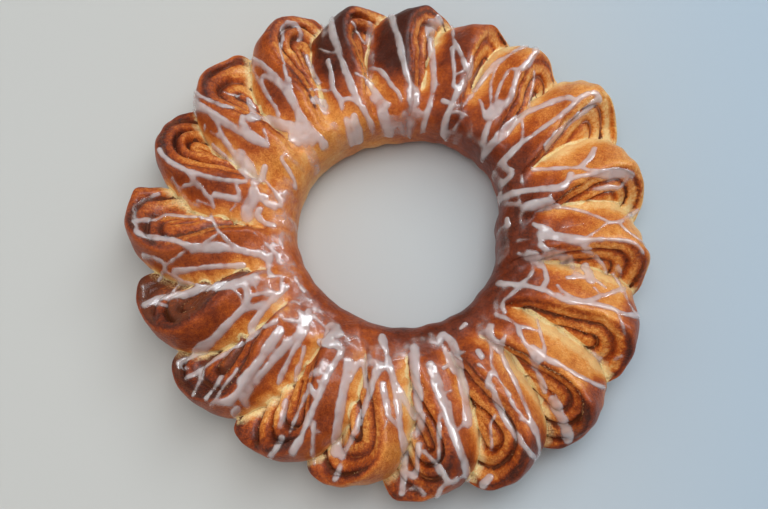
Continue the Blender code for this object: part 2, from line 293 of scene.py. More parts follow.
    (3.8, 1, 234.8, 164, 233, 152, 231.4, 140, 229.8, 132),
    (6, 0.9, 222.5, 140, 223.5, 128, 222, 118, 219, 112),
    (4, 0.8, 214.5, 128, 217, 122, 220, 118),
    (5, 0.7, 214, 112, 218, 110, 222, 107),
    (3, 1.2, 222, 103, 226, 103, 230, 103),
    (5, 0.5, 214, 98, 220, 97, 228, 97, 233, 99),
    (6, 1.3, 234.5, 118, 236.5, 116, 239, 113, 241.5, 112),
    (9, 1.2, 233, 100, 236, 100, 239, 100),
    (8, 1.1, 236, 112, 235, 100),
    (5.5, 1, 240.3, 241, 240.6, 232, 240.5, 220),
    (6, 0.7, 238.6, 210, 237.6, 200, 236, 187),
    (4, 1, 241.6, 210, 241.1, 195, 240.7, 178, 240.5, 168),
    (5, 1, 244.6, 227, 244.9, 213, 244.7, 195, 244.6, 175, 244.3, 158, 244, 140, 244.8, 123, 245,
     112),
    (4, 0.9, 239.5, 160, 241.5, 163, 243.5, 167),
    (6, 0.7, 238.5, 150, 240, 143, 240.5, 132),
    (2.5, 0.9, 241.5, 152, 243.5, 154),
    (3.5, 1, 250.8, 230, 249.3, 219, 248.2, 207, 246.6, 191),
    (3, 0.9, 247, 199, 249, 198),
    (7.5, 1, 255.3, 212, 254.2, 193, 253.2, 175, 252.4, 158, 251.5, 140, 250.8, 124),
    (4.5, 1, 256.8, 238, 257.3, 224),
    (5.5, 0.9, 257.2, 216, 258.2, 202, 259.3, 188, 260.3, 172, 261.2, 158, 262.3, 144),
    (4, 1.2, 253.3, 140, 254, 127, 255.5, 120, 257.5, 120, 259, 131, 260, 142),
    (6, 1, 262.2, 145, 263, 133, 264.5, 124, 266, 120),
    (8, 0.6, 258, 115, 262, 117, 265, 118),
    (6, 0.5, 250, 108, 256, 106),
    (5.5, 1.1, 269.4, 168, 268.3, 152, 267, 137),
    (5.5, 1.1, 274.2, 198, 273.4, 184, 273.1, 166, 272.4, 148, 271.2, 132, 269.4, 116, 267.2, 101,
     265, 90),
    (4.5, 1, 278, 173, 276.7, 162, 274.8, 147, 272.8, 137),
    (3.5, 1, 273.3, 184, 271.5, 176, 269.8, 169),
    (2.5, 1, 268.3, 182, 269, 174),
    (5.5, 0.8, 272.8, 246, 273.3, 230, 274, 212, 274.1, 200),
    (4, 1, 274.8, 243, 276.5, 243, 277.7, 250),
    (5, 0.9, 275, 228, 276.3, 230, 277.3, 216, 278.4, 199),
    (4.5, 1.1, 286, 242, 284.3, 243, 283, 232, 281.5, 220, 279.6, 207),
    (4, 0.9, 280.8, 254, 282.3, 246, 284, 243),
    (3.5, 1, 283, 218, 284.3, 198, 285.8, 181, 287, 172),
    (6, 0.7, 277.3, 190, 279.5, 184, 280.8, 170),
    (7, 1.1, 279.8, 165, 280.8, 148, 281.2, 132, 282.3, 115, 284, 104),
    (6.5, 1, 288.6, 243, 289, 225, 289, 205, 288.8, 185, 288.8, 165, 289, 145, 288.8, 125),
    (9, 1, 289, 160, 289, 130),
    (3, 1, 289, 158, 291.5, 156, 293.2, 156),
    (2.5, 0.9, 286, 242, 287.8, 241),
    (5.5, 1.4, 291.5, 255, 293.3, 251),
    (3, 1.1, 290.3, 195, 292, 193),
    (7, 1, 293.5, 193, 295.3, 180, 296.8, 165, 298.3, 150, 299.5, 136, 300.5, 128),
    (3.2, 1.5, 293.8, 132.5, 295.8, 132),
    (2.5, 1, 290, 192, 290.2, 178, 291, 166),
    (5, 0.9, 297.3, 140, 297.5, 125, 298, 115),
    (4, 1, 298.5, 124, 301, 123, 303.5, 127, 305, 128),
    (6, 0.9, 302.5, 122, 303, 112, 301.5, 103),
    (5, 0.6, 297, 108, 300, 102),
    (6, 0.4, 286, 100, 290, 108, 295, 97),
    (2.8, 1, 296.6, 226, 298, 215, 299.5, 204, 302, 198),
    (4.5, 1, 304.4, 259, 304, 240, 303.7, 222, 303.8, 205, 304.3, 190, 305.3, 180, 306.5, 173),
    (4.5, 1, 305.3, 260, 306.6, 250, 308, 240, 309, 228, 310, 214, 311.3, 201, 312.6, 187, 313.8,
     173, 315.3, 160, 316.8, 150, 317.5, 140),
    (5, 0.9, 307.8, 240, 308.3, 228, 307.5, 215),
    (3, 0.9, 308.2, 222, 307.8, 205, 308.3, 195),
    (3.5, 1, 308.8, 190, 309.3, 177, 310, 162, 311.5, 153, 313.8, 147, 316, 139),
    (6, 0.9, 305.5, 170, 307, 164, 309, 162),
    (3, 0.9, 308, 155, 306.8, 147),
    (5.5, 1.4, 309.9, 143, 310.2, 137),
    (3.5, 1.4, 310.8, 108, 314.3, 108),
    (6.5, 1, 312.8, 263, 314.3, 249, 315.5, 236, 316.8, 223),
    (3.8, 1, 317, 212, 318.5, 201, 320.5, 187, 322.3, 180, 323.8, 172),
    (6, 1, 316.8, 150, 317.5, 138, 319.5, 131, 322, 128),
    (9, 0.4, 317, 128, 320, 122, 323, 120),
    (4, 0.9, 320, 147, 322.5, 145),
    (4.5, 1, 326.6, 256, 326, 240, 325.5, 222, 325.1, 205, 324.4, 191, 323.8, 178),
    (6, 1, 323, 187, 324.5, 185, 324.5, 175),
    (3.5, 1, 325, 188, 327, 184, 329.3, 176, 331.5, 170, 333.6, 164),
    (4, 1, 324, 175, 324.8, 164, 326.5, 155, 328.3, 150, 328.4, 138, 327.3, 126),
    (3, 1, 328.4, 151, 329.6, 160, 330.3, 168),
    (3.5, 0.9, 330.5, 132, 332.5, 127, 335, 126, 338, 130, 341, 133, 343.5, 139),
    (4, 0.4, 330, 122, 335, 118, 340, 122),
    (4, 0.8, 331.5, 238, 332.5, 228),
    (3, 1, 333.6, 252, 334.6, 256),
    (2.8, 1, 339.6, 250, 341.5, 245, 343.3, 239),
    (5, 1, 344.3, 258, 344, 242, 344.5, 226, 344.2, 208, 343.3, 192, 343.6, 176, 344.3, 160, 344.2,
     145, 343.2, 130, 341.5, 115),
    (3.5, 1, 344.8, 254, 347, 244, 349.3, 238, 351.5, 230, 353, 224),
    (4, 1, 350, 238, 348.3, 226, 347, 218),
    (4.5, 1, 347.3, 217, 345.6, 210, 344.5, 200, 344.5, 190, 345.4, 179, 347, 172),
    (3, 1, 347, 217, 348.8, 208),
    (4, 1, 349.3, 219, 351, 206, 351, 192, 350.2, 180),
    (7, 1.2, 350.8, 203, 352.5, 201, 354, 196),
    (7, 0.5, 352, 188, 354.5, 182, 355.5, 172),
    (3, 1, 353, 218, 355.5, 212, 357.3, 205, 359, 196, 361, 191),
    (4, 1, 345, 158, 348, 160, 351, 157, 354, 153),
    (3.5, 1, 344.5, 136, 347, 141, 350, 144, 353, 143, 355.3, 137, 357, 129),
    (7, 0.9, 353, 150, 355, 146, 356.5, 138),
    (3, 1, 356, 160, 358.5, 157, 360.5, 152),
    (5, 0.5, 356.5, 175, 357.5, 165, 356.5, 155),
    (3.5, 1, 353.2, 233, 354.8, 228),
    (4, 0.4, 350.8, 108, 352.8, 113),
    (14, 0.16, 150, 122, 158, 118, 166, 114, 175, 110, 185, 106, 195, 104, 205, 103, 215, 103, 225,
     102, 235, 101, 245, 103, 252, 106),
    (12, 0.14, 183, 124, 190, 128, 197, 132, 205, 128, 213, 122),
    (14, 0.14, 250, 112, 258, 110, 266, 108, 275, 106, 284, 104, 293, 106),
    (10, 0.14, 216, 118, 224, 116, 232, 113, 238, 112),
)

Roll = namedtuple(
    "Roll",
    "number angle reach lean slant front_gap back_gap turned coil_up axis_height size steps",
)
RollField = namedtuple("RollField", "body rim front back along up winding")
DoughSizes = namedtuple(
    "DoughSizes", "layer_thickness groove_depth coil_rise front_rounding back_rounding"
)
IcingSizes = namedtuple("IcingSizes", "thickness spread")

# Sizes of a roll. A pair is where a change begins and where it ends.
COIL_FROM_TIP = 0.043
SPINE_BEYOND_COIL = 0.012
SPINE_TOWARDS_ROOT = 0.026
SWIRL_MIDDLE = 0.3 * SPINE_TOWARDS_ROOT
ROOT_RADIUS = 0.078
ROOT_LEAN = math.radians(16)
FULL_LEAN_RADIUS = 0.155
AXIS_HEIGHT = 0.024
HALF_HEIGHT = 0.031
ROLL_OVERLAP = 0.0012
SAG = 0.005
SAG_ZONE = (0.004, 0.026)
LOOP_POWER = 2.4
LAYER_POWER = 2.8
TIP_CROWN = 0.010
TOP_CROWN = 0.003
TIP_ZONE = (-0.005, 0.030)
AXIS_UNEVENNESS = 0.0015
SMALLEST_ROLL, LARGEST_ROLL = 0.96, 1.04
LAYER_STEP = 0.0012
LAYER_STEPS = 12
GROOVES_END = (0.0075, 0.0035)  # metres inside the skin
SEAM_START = 0.0068  # metres inside the skin
FILLING_EDGE = 0.0060  # metres inside the skin
FILLING_EDGE_FADE = 0.0025
SUNK_AT_EDGE = 0.0040
SUNK_AT_BAND = 0.0045
SUNK_ZONE = (0.096, 0.128)
FILLING_FROM_MIDDLE = 0.088
FILLING_LOWEST = 0.0025
WINDOW_ROOT = 0.060
WINDOW_HALF = 0.052
WINDOW_MARGIN = 0.006

# All sizes are worked out round a point near the ring's middle. This is the wreath's middle there,
# and every piece is moved so that it comes to lie over the origin.
WREATH_MIDDLE = (0.00095, -0.0054, 0.0)
HOLE_CENTRE = (0.0083, 0.0049)
HOLE_RADIUS = 0.063
BAND_WIDTH = 0.054
HOLE_OUTLINE = (  # degrees round the hole, metres
    (0, 0.0618),
    (30, 0.0735),
    (60, 0.0715),
    (90, 0.0650),
    (120, 0.0641),
    (150, 0.0659),
    (180, 0.0668),
    (210, 0.0659),
    (240, 0.0645),
    (270, 0.0685),
    (300, 0.0700),
    (330, 0.0680),
)
HOLE_UNDERCUT = 0.009
HOLE_UNDERCUT_HEIGHT = 0.019
HOLE_ROUNDING = 0.012
BAND_HEIGHT = 0.046
BAND_ROUNDING = 0.020
BASE_ROUNDING = 0.004
JOIN_TIGHT, JOIN_AT_BAND, JOIN_AT_BASE = 0.0010, 0.010, 0.005
BAND_JOIN_ZONE = (0.078, 0.100)  # from the hole's middle
BASE_JOIN_ZONE = (0.003, 0.018)  # above the floor
DOUGH_LUMPS = (  # height, wavelength, seed
    (0.0007, 0.045, SEED + 1),
    (0.0004, 0.017, SEED),
)

GRID_STEP = 0.0007
GRID_LOW = (-0.184, -0.181, -0.0030)
GRID_HIGH = (0.184, 0.181, 0.0700)
MOST_TRIANGLES = 190000  # of one piece

VIEW_SIZE = (768, 509)  # pixels of the picture in which the strokes are given
VIEW_MIDDLE = (390, 247)
NO_ICING = -0.003
STROKE_MERGE = 0.0003
STROKE_MERGE_FROM = -0.0006
FILM_THICKNESS = 0.0016
FILM_FROM_CROWDING = 0.68
MOST_FILM = 0.0004
ICING_LUMPS = (  # height, wavelength, seed
    (0.00016, 0.007, SEED + 6),
    (0.00022, 0.019, SEED + 7),
)
ICING_ROOTING = 0.0009
ICING_DROP = 0.010
ICING_LOWEST = 0.003

DARK_SIDE = 215.0  # degrees round the ring, the side facing away from the window, where shade is painted into the crust
CARAMEL_SIDE = 318.0  # degrees round the ring, where sugar has browned on the rolls' rims

CAMERA_TILT = 16.5  # degrees from looking straight down
CAMERA_DISTANCE = 0.80
CAMERA_LENS = 55.7  # millimetres
CAMERA_AIM = (0.0022, -0.0086, 0.020)
CAMERA_SHIFT = (-0.0078, -0.0059)
SENSOR_WIDTH = 36.0  # millimetres
FLOOR_SIZE = 16.0
FLOOR_GAP = 0.00005  # keeps the floor from lying in the same plane as the wreath's base
COOL_ZONE = (-0.12, 0.32)  # along X, where the window's cool light is painted onto the floor
COOL_FADE_ZONE = (0.40, 1.40)
COOL_LEFT = 0.2  # share of the painted window light beyond the fade
WHITE, WARM, PALE_BLUE = (1.0, 1.0, 1.0), (1.0, 0.97, 0.92), (0.86, 0.94, 1.0)
WORLD_TINT = (0.95, 0.97, 1.0)
LAMPS = (  # name, place, size, setting and share of it that give the power, tint, what it lights
    ("Window", (0.9, 1.0, 1.8), 1.5, "key_power", 1.0, PALE_BLUE, "all"),
    ("Glint", (0.9, 1.0, 1.8), 0.9, "glint_power", 0.7, PALE_BLUE, "glossy"),
    ("Low glint", (1.6, 0.5, 1.0), 0.8, "glint_power", 0.4, PALE_BLUE, "glossy"),
    ("Ceiling", (0.0, 0.0, 2.4), 1.6, "ceiling_power", 1.0, WHITE, "matt"),
    ("Fill", (-1.0, -0.3, 0.9), 1.2, "fill_power", 1.0, WARM, "all"),
)


# === Shapes: distance fields for the dough ===


def smooth_step(low, high, value):
    """0 below low, 1 above high, and an S curve between them."""
    share = np.clip((value - low) / (high - low), 0.0, 1.0)
    return share * share * (3.0 - 2.0 * share)


def blend_join(a, b, reach):
    """The union of two fields, blended where they are within reach of each other."""
    share = np.clip(0.5 + 0.5 * (b - a) / reach, 0.0, 1.0)
    return b + (a - b) * share - reach * share * (1.0 - share)


def round_cut(a, b, radius):
    """The overlap of two fields, with its edge rounded."""
    inside = np.minimum(np.maximum(a, b), -radius)
    return inside + np.hypot(np.maximum(a + radius, 0.0), np.maximum(b + radius, 0.0))


def soft_noise(x, y, wavelength, seed, waves=9):
    """A smooth uneven field over the plan, about -1 to 1."""
    draw = np.random.default_rng(seed)
    total = 0.0
    for _ in range(waves):
        heading = draw.uniform(0.0, math.tau)
        stretch = draw.uniform(0.7, 1.5) * math.tau / wavelength
        phase = draw.uniform(0.0, math.tau)
        total = total + np.sin(
            stretch * (math.cos(heading) * x + math.sin(heading) * y) + phase
        )
    return total / math.sqrt(waves)


def lumps(x, y, layers):
    """Layers of smooth unevenness over the plan."""
    return sum(height * soft_noise(x, y, wavelength, seed) for height, wavelength, seed in layers)


def all_rolls():
    """The nineteen rolls, each a little uneven."""
    draw = np.random.default_rng(SEED)
    rolls = []
    for number, (angle, reach, lean, slant, turned, coil_up) in enumerate(ROLL_TIPS):
        before = ROLL_TIPS[number - 1][0]
        after = ROLL_TIPS[(number + 1) % len(ROLL_TIPS)][0]
        rolls.append(
            Roll(
                number + 1,
                math.radians(angle),
                reach,
                math.radians(lean),
                math.tan(math.radians(slant)),
                math.radians((angle - before) % 360 / 2),
                math.radians((after - angle) % 360 / 2),
                turned,
                coil_up,
                AXIS_HEIGHT + draw.uniform(-AXIS_UNEVENNESS, AXIS_UNEVENNESS),
                draw.uniform(SMALLEST_ROLL, LARGEST_ROLL),
                draw.uniform(-LAYER_STEP, LAYER_STEP, LAYER_STEPS),
            )
        )
    return rolls


def darker_side(angle):
    """1 on the side of the ring that faces away from the window, 0 on the side that faces it."""
    return 0.5 - 0.5 * np.cos(angle - math.radians(DARK_SIDE) + math.pi)


def winding_pitch(roll, dough):
    """The thickness of one layer of dough in the swirl."""
    return dough.layer_thickness * roll.size


def from_spine(along, above):
    """How far each point of the disc lies from the roll's spine, as flattened ovals round it."""
    beyond = np.maximum(along - SPINE_BEYOND_COIL, 0.0) + np.maximum(
        -SPINE_TOWARDS_ROOT - along, 0.0
    )
    return (beyond**LOOP_POWER + np.abs(above) ** LOOP_POWER) ** (1.0 / LOOP_POWER)


def loop_shape(roll, along, above):
    """How far out of the swirl's middle each point lies, and how uneven the swirl is there."""
    uneven = 0.15 * np.sin(along / 0.0120 + 5.0 * roll.number)
    uneven = uneven + 0.17 * np.sin(above / 0.0095 + 3.0 * roll.number)
    return from_spine(along, above), uneven


def lean_at(roll, radius):
    """How far a roll leans over at this distance from the ring's middle."""
    return ROOT_LEAN + (roll.lean - ROOT_LEAN) * smooth_step(ROOT_RADIUS, FULL_LEAN_RADIUS, radius)


def sag_at(up):
    """How far the lower half of a roll has spread under its weight."""
    return SAG * smooth_step(*SAG_ZONE, -up)


def roll_field(roll, x, y, z, dough):
    """How far each point lies from one roll's surfaces, and where it is on the roll's disc."""
    cos_a, sin_a = math.cos(roll.angle), math.sin(roll.angle)
    coil = roll.reach - COIL_FROM_TIP
    radius = x * cos_a + y * sin_a
    along = radius - coil
    side = y * cos_a - x * sin_a + roll.slant * along
    lean = lean_at(roll, radius)
    rise = z - roll.axis_height
    through = np.cos(lean) * side - np.sin(lean) * rise
    up = np.sin(lean) * side + np.cos(lean) * rise
    distance = from_spine(along, up)
    above = up - roll.coil_up
    loop, uneven = loop_shape(roll, along, above)
    turn = np.arctan2(above, along + SWIRL_MIDDLE) / math.tau
    winding = loop / winding_pitch(roll, dough) + turn + roll.turned + uneven
    number = np.floor(winding)
    layer = np.abs(2.0 * (winding - number) - 1.0)
    half_height = HALF_HEIGHT * roll.size
    centre = np.clip(1.0 - loop / half_height, 0.0, 1.0)
    steps = np.array(roll.steps, np.float32)
    height = steps[np.clip(number, 0, len(steps) - 1).astype(np.int32)]
    depth = dough.groove_depth * (0.85 + 0.3 * np.sin(1.9 * winding + 3.0 * roll.number))
    depth = depth * (0.55 + 0.55 * darker_side(roll.angle))
    fade, gone = (half_height - margin for margin in GROOVES_END)
    inside = 1.0 - smooth_step(fade, gone, distance)
    relief = (depth + height) * (1.0 - (layer * inside) ** LAYER_POWER)
    relief = relief + dough.coil_rise * centre
    sag = sag_at(up)
    width = radius * np.cos(lean)
    half_front = width * math.tan(roll.front_gap) + ROLL_OVERLAP
    half_back = width * math.tan(roll.back_gap) + ROLL_OVERLAP
    front = -through - half_front - relief - sag
    back = through - half_back - sag
    across = np.clip((through + half_front) / (half_front + half_back), 0.0, 1.0)
    tip = smooth_step(*TIP_ZONE, along)
    rim = distance - half_height + (TIP_CROWN * tip + TOP_CROWN) * across**2
    body = np.maximum(
        round_cut(rim, front, dough.front_rounding), round_cut(rim, back, dough.back_rounding)
    )
    return RollField(body, rim, front, back, along, up, winding)


def band_field(x, y, z):
    """The smooth inner band of the ring, where the rolls stay joined."""
    radius = np.hypot(x - HOLE_CENTRE[0], y - HOLE_CENTRE[1])
    across = np.abs(radius - HOLE_RADIUS - BAND_WIDTH / 2) - BAND_WIDTH / 2
    return round_cut(across, z - BAND_HEIGHT, BAND_ROUNDING)


def hole_field(x, y, z):
    """The hole's wall: uneven round the ring, and drawn in under the bulge towards the floor."""
    across, forth = x - HOLE_CENTRE[0], y - HOLE_CENTRE[1]
    azimuth = np.degrees(np.arctan2(forth, across)) % 360.0
    places, radii = zip(*HOLE_OUTLINE, (360, HOLE_OUTLINE[0][1]))
    low = np.clip(1.0 - z / HOLE_UNDERCUT_HEIGHT, 0.0, 1.0)
    return np.interp(azimuth, places, radii) + HOLE_UNDERCUT * low**2 - np.hypot(across, forth)


def join_reach(x, y, z):
    """How softly neighbours melt together: tightly outside, widely at the band and the base."""
    radius = np.hypot(x - HOLE_CENTRE[0], y - HOLE_CENTRE[1])
    inner = 1.0 - smooth_step(*BAND_JOIN_ZONE, radius)
    base = 1.0 - smooth_step(*BASE_JOIN_ZONE, z)
    return JOIN_TIGHT + JOIN_AT_BAND * inner + JOIN_AT_BASE * base


def grid_axes():
    """The grid's coordinates along X, Y and Z, shaped so that they broadcast."""
    axes = [np.arange(low, high, GRID_STEP, np.float32) for low, high in zip(GRID_LOW, GRID_HIGH)]
    return axes[0][:, None, None], axes[1][None, :, None], axes[2][None, None, :]


def grid_window(x, y, places, margin=0.0):
    """The part of the grid round these places of the plan."""
    window = []
    for values, given in zip((x.ravel(), y.ravel()), np.transpose(places)):
        low, high = given.min() - margin, given.max() + margin
        window.append(slice(*np.searchsorted(values, (low, high))))
    return tuple(window)


def roll_window(roll, x, y):
    """The part of the grid that one roll can reach."""
    cos_a, sin_a = math.cos(roll.angle), math.sin(roll.angle)
    corners = []
    for radius in (WINDOW_ROOT, roll.reach + WINDOW_MARGIN):
        for side in (-WINDOW_HALF, WINDOW_HALF):
            corners.append((radius * cos_a - side * sin_a, radius * sin_a + side * cos_a))
    return grid_window(x, y, corners)


def dough_grid(rolls, dough):
    """The whole dough's distance field."""
    x, y, z = grid_axes()
    field = band_field(x, y, z).astype(np.float32)
    for roll in rolls:
        window = roll_window(roll, x, y)
        near_x, near_y = x[window[0]], y[:, window[1]]
        body = roll_field(roll, near_x, near_y, z, dough).body
        reach = join_reach(near_x, near_y, z)
        field[window] = blend_join(field[window], body, reach)
    field = round_cut(field, hole_field(x, y, z), HOLE_ROUNDING)
    field = field + lumps(x, y, DOUGH_LUMPS)
    return round_cut(field, -z, BASE_ROUNDING).astype(np.float32)


@functools.cache
def wreath_grid(sizes):
    """The rolls and the dough's field, worked out once for these sizes."""
    rolls = all_rolls()
    return rolls, dough_grid(rolls, sizes)


def read_sizes(context):
    """The sizes of the dough and of the icing, from the settings."""
    scene = context.scene
    groups = ((DoughSizes, scene.wreath_dough), (IcingSizes, scene.wreath_icing))
    return [kind(*(getattr(group, name) for name in kind._fields)) for kind, group in groups]


# === Shapes: icing laid over the dough ===


def blur(values, reach):
    """A map of the plan, smoothed over this many grid steps each way."""
    weights = np.hanning(2 * reach + 3)[1:-1]
    for axis in (0, 1):
        shifts = range(-reach, reach + 1)
        moved = (weight * np.roll(values, shift, axis) for shift, weight in zip(shifts, weights))
        values = sum(moved) / weights.sum()
    return values.astype(np.float32)


def height_map(field):
    """How high the dough's top lies over each point of the plan. It is 0 where there is none."""
    inside = field < 0.0
    top = field.shape[2] - 1 - np.argmax(inside[:, :, ::-1], axis=2)[:, :, None]
    below = np.take_along_axis(field, top, 2)
    above = np.take_along_axis(field, np.minimum(top + 1, field.shape[2] - 1), 2)
    share = np.clip(below / np.minimum(below - above, -1e-6), 0.0, 1.0)
    heights = GRID_LOW[2] + GRID_STEP * (top + share)
    return np.where(inside.any(axis=2), heights[:, :, 0], 0.0).astype(np.float32)


def smooth_heights(heights, reach):
    """The height map smoothed, without dropping towards the edges."""
    covered = (heights > 0.0).astype(np.float32)
    return blur(heights, reach) / np.maximum(blur(covered, reach), 0.02)


def read_map(values, x, y):
    """A map of the plan at these points."""
    places = []
    for given, low, count in zip((x, y), GRID_LOW, values.shape):
        places.append(np.clip((given - low) / GRID_STEP, 0.0, count - 1.001))
    column, row = (place.astype(np.int32) for place in places)
    across, down = (place - whole for place, whole in zip(places, (column, row)))
    near = values[column, row] * (1.0 - across) + values[column + 1, row] * across
    far = values[column, row + 1] * (1.0 - across) + values[column + 1, row + 1] * across
    return near * (1.0 - down) + far * down


def smooth_path(points, steps=6):
    """Points along a smooth line through the given ones."""
    ends = [2 * points[0] - points[1], *points, 2 * points[-1] - points[-2]]
    share = np.linspace(0.0, 1.0, steps, endpoint=False)[:, None]
    spans = []
    for a, b, c, d in zip(ends, ends[1:], ends[2:], ends[3:]):
        cubic = (2 * a - 5 * b + 4 * c - d) * share**2 + (3 * b - a - 3 * c + d) * share**3
        spans.append(0.5 * (2 * b + (c - a) * share + cubic))
    return np.concatenate([*spans, points[-1:]])


def land_on_dough(view_points, heights):
    """Where lines of sight through these points of the picture meet the dough."""
    across, down = view_points.T
    focal = CAMERA_LENS / SENSOR_WIDTH * VIEW_SIZE[0]
    right = (across - VIEW_SIZE[0] / 2 + CAMERA_SHIFT[0] * VIEW_SIZE[0]) / focal
    up = (VIEW_SIZE[1] / 2 + CAMERA_SHIFT[1] * VIEW_SIZE[0] - down) / focal
    tilt = math.radians(CAMERA_TILT)
    cos_t, sin_t = math.cos(tilt), math.sin(tilt)
    heading = np.stack([right, cos_t * up + sin_t, sin_t * up - cos_t])
    start = np.array(CAMERA_AIM) + np.array((0.0, -sin_t, cos_t)) * CAMERA_DISTANCE
    height = np.full(across.shape, 0.040)
    for _ in range(10):
        place = start[:2, None] + heading[:2] * (height - start[2]) / heading[2]
        height = 0.5 * height + 0.5 * read_map(heights, *place)
    return place.T


def lay_stroke(thickness, path, half_widths, height, x, y):
    """Adds one stroke of icing to the thickness map."""
    window = grid_window(x, y, path, half_widths.max() - NO_ICING)
    near_x, near_y = x[window[0]], y[:, window[1]]
    start, span = path[:-1], np.diff(path, axis=0)
    from_x, from_y = near_x - start[:, 0], near_y - start[:, 1]
    length_squared = np.maximum((span**2).sum(axis=1), 1e-12)
    share = np.clip((from_x * span[:, 0] + from_y * span[:, 1]) / length_squared, 0.0, 1.0)
    distance = np.hypot(from_x - share * span[:, 0], from_y - share * span[:, 1])
    half = half_widths[:-1] + np.diff(half_widths) * share
    ratio = (distance / half).min(axis=2)
    bead = height * np.sqrt(np.clip(1.0 - ratio**2, 0.0, 1.0))
    beyond = np.maximum(NO_ICING, -(ratio - 1.0) * half_widths.mean())
    laid = np.where(ratio < 1.0, bead, beyond)
    before = thickness[window]
    merged = -blend_join(-before, -laid, STROKE_MERGE)
    near = np.minimum(before, laid) > STROKE_MERGE_FROM
    thickness[window] = np.where(near, merged, np.maximum(before, laid))


def icing_thickness(heights, icing):
    """How thick the icing lies over each point of the plan. It is negative where there is none."""
    x, y, _ = grid_axes()
    smoothed = smooth_heights(heights, 3)
    thickness = np.full(heights.shape, NO_ICING, np.float32)
    draw = np.random.default_rng(SEED + 5)
    for width, share, *flat in ICING_STROKES:
        angles, radii = np.radians(flat[0::2]), np.array(flat[1::2])
        turned = np.stack([np.cos(angles), -np.sin(angles)], axis=1)
        path = smooth_path(np.array(VIEW_MIDDLE) + radii[:, None] * turned)
        path = land_on_dough(path, smoothed)
        knots = np.arange(0, len(path) + 5, 5)
        uneven = np.interp(np.arange(len(path)), knots, draw.uniform(0.8, 1.2, len(knots)))
        half_widths = 0.0005 * width * icing.spread * uneven
        height = icing.thickness * share * min(1.0, 0.55 + width / 14.0)
        lay_stroke(thickness, path, half_widths, height, x, y)
    crowded = blur((thickness > 0.0).astype(np.float32), 3)
    film = np.clip(FILM_THICKNESS * (crowded - FILM_FROM_CROWDING), NO_ICING, MOST_FILM)
    thickness = np.maximum(blur(thickness, 1), film)
    return (thickness + lumps(x, y, ICING_LUMPS)[:, :, 0]).astype(np.float32)


@functools.cache
def icing_map(sizes, icing):
    """The icing's thickness map, worked out once for these sizes."""
    _, field = wreath_grid(sizes)
    return icing_thickness(height_map(field), icing)


def icing_grid(sizes, icing):
    """The icing's distance field: a skin on the dough, rooted a little way into it."""
    _, _, z = grid_axes()
    _, field = wreath_grid(sizes)
    thickness = icing_map(sizes, icing)
    lowest = smooth_heights(height_map(field), 5) - ICING_DROP
    skin = np.maximum(field - thickness[:, :, None], -ICING_ROOTING - field)
    skin = np.maximum(skin, lowest[:, :, None] - z)
    return np.maximum(skin, ICING_LOWEST - z).astype(np.float32)


# === Shapes: the filling between the turns, and the sugar ===


def roll_points(roll, through, along, up):
    """Points in the space of the wreath from where they are on a roll's disc."""
    radius = np.maximum(roll.reach - COIL_FROM_TIP + along, FILLING_FROM_MIDDLE)
    along = radius - roll.reach + COIL_FROM_TIP
    lean = lean_at(roll, radius)
    side = np.cos(lean) * through + np.sin(lean) * up - roll.slant * along
    rise = np.cos(lean) * up - np.sin(lean) * through
    cos_a, sin_a = math.cos(roll.angle), math.sin(roll.angle)
    x = radius * cos_a - side * sin_a
    y = radius * sin_a + side * cos_a
    return np.stack([x, y, np.maximum(roll.axis_height + rise, FILLING_LOWEST)], axis=-1)


def seam_spiral(roll, sizes, count=150):
    """The line of the seam on the cut face, from the outside of the swirl inwards."""
    pitch = winding_pitch(roll, sizes)
    turns = np.linspace((HALF_HEIGHT * roll.size - SEAM_START) / pitch, 0.45, count)
    heading = math.tau * (-roll.turned - turns)
    low, high = np.zeros(count), np.full(count, 0.07)
    for _ in range(26):
        middle = (low + high) / 2
        along = middle * np.cos(heading) - SWIRL_MIDDLE
        above = middle * np.sin(heading)
        loop, uneven = loop_shape(roll, along, above)
        short = loop / pitch + uneven < turns
        low, high = np.where(short, middle, low), np.where(short, high, middle)
    return along, above, np.stack([np.cos(heading), np.sin(heading)]), loop


def bar_faces(count, corners):
    """The triangles of a closed bar: this many rings, each with this many corners."""
    index = np.arange(count * corners).reshape(count, corners)
    faces = []
    for corner in range(corners):
        after = (corner + 1) % corners
        a, b = index[:-1, corner], index[1:, corner]
        c, d = index[1:, after], index[:-1, after]
        faces.append(np.stack([a, b, c], axis=1))
        faces.append(np.stack([a, c, d], axis=1))
    for ring, order in ((index[0], 1), (index[-1], -1)):
        for corner in range(1, corners - 1):
            faces.append(np.array([(ring[0], ring[corner], ring[corner + 1])[::order]]))
    return np.concatenate(faces)


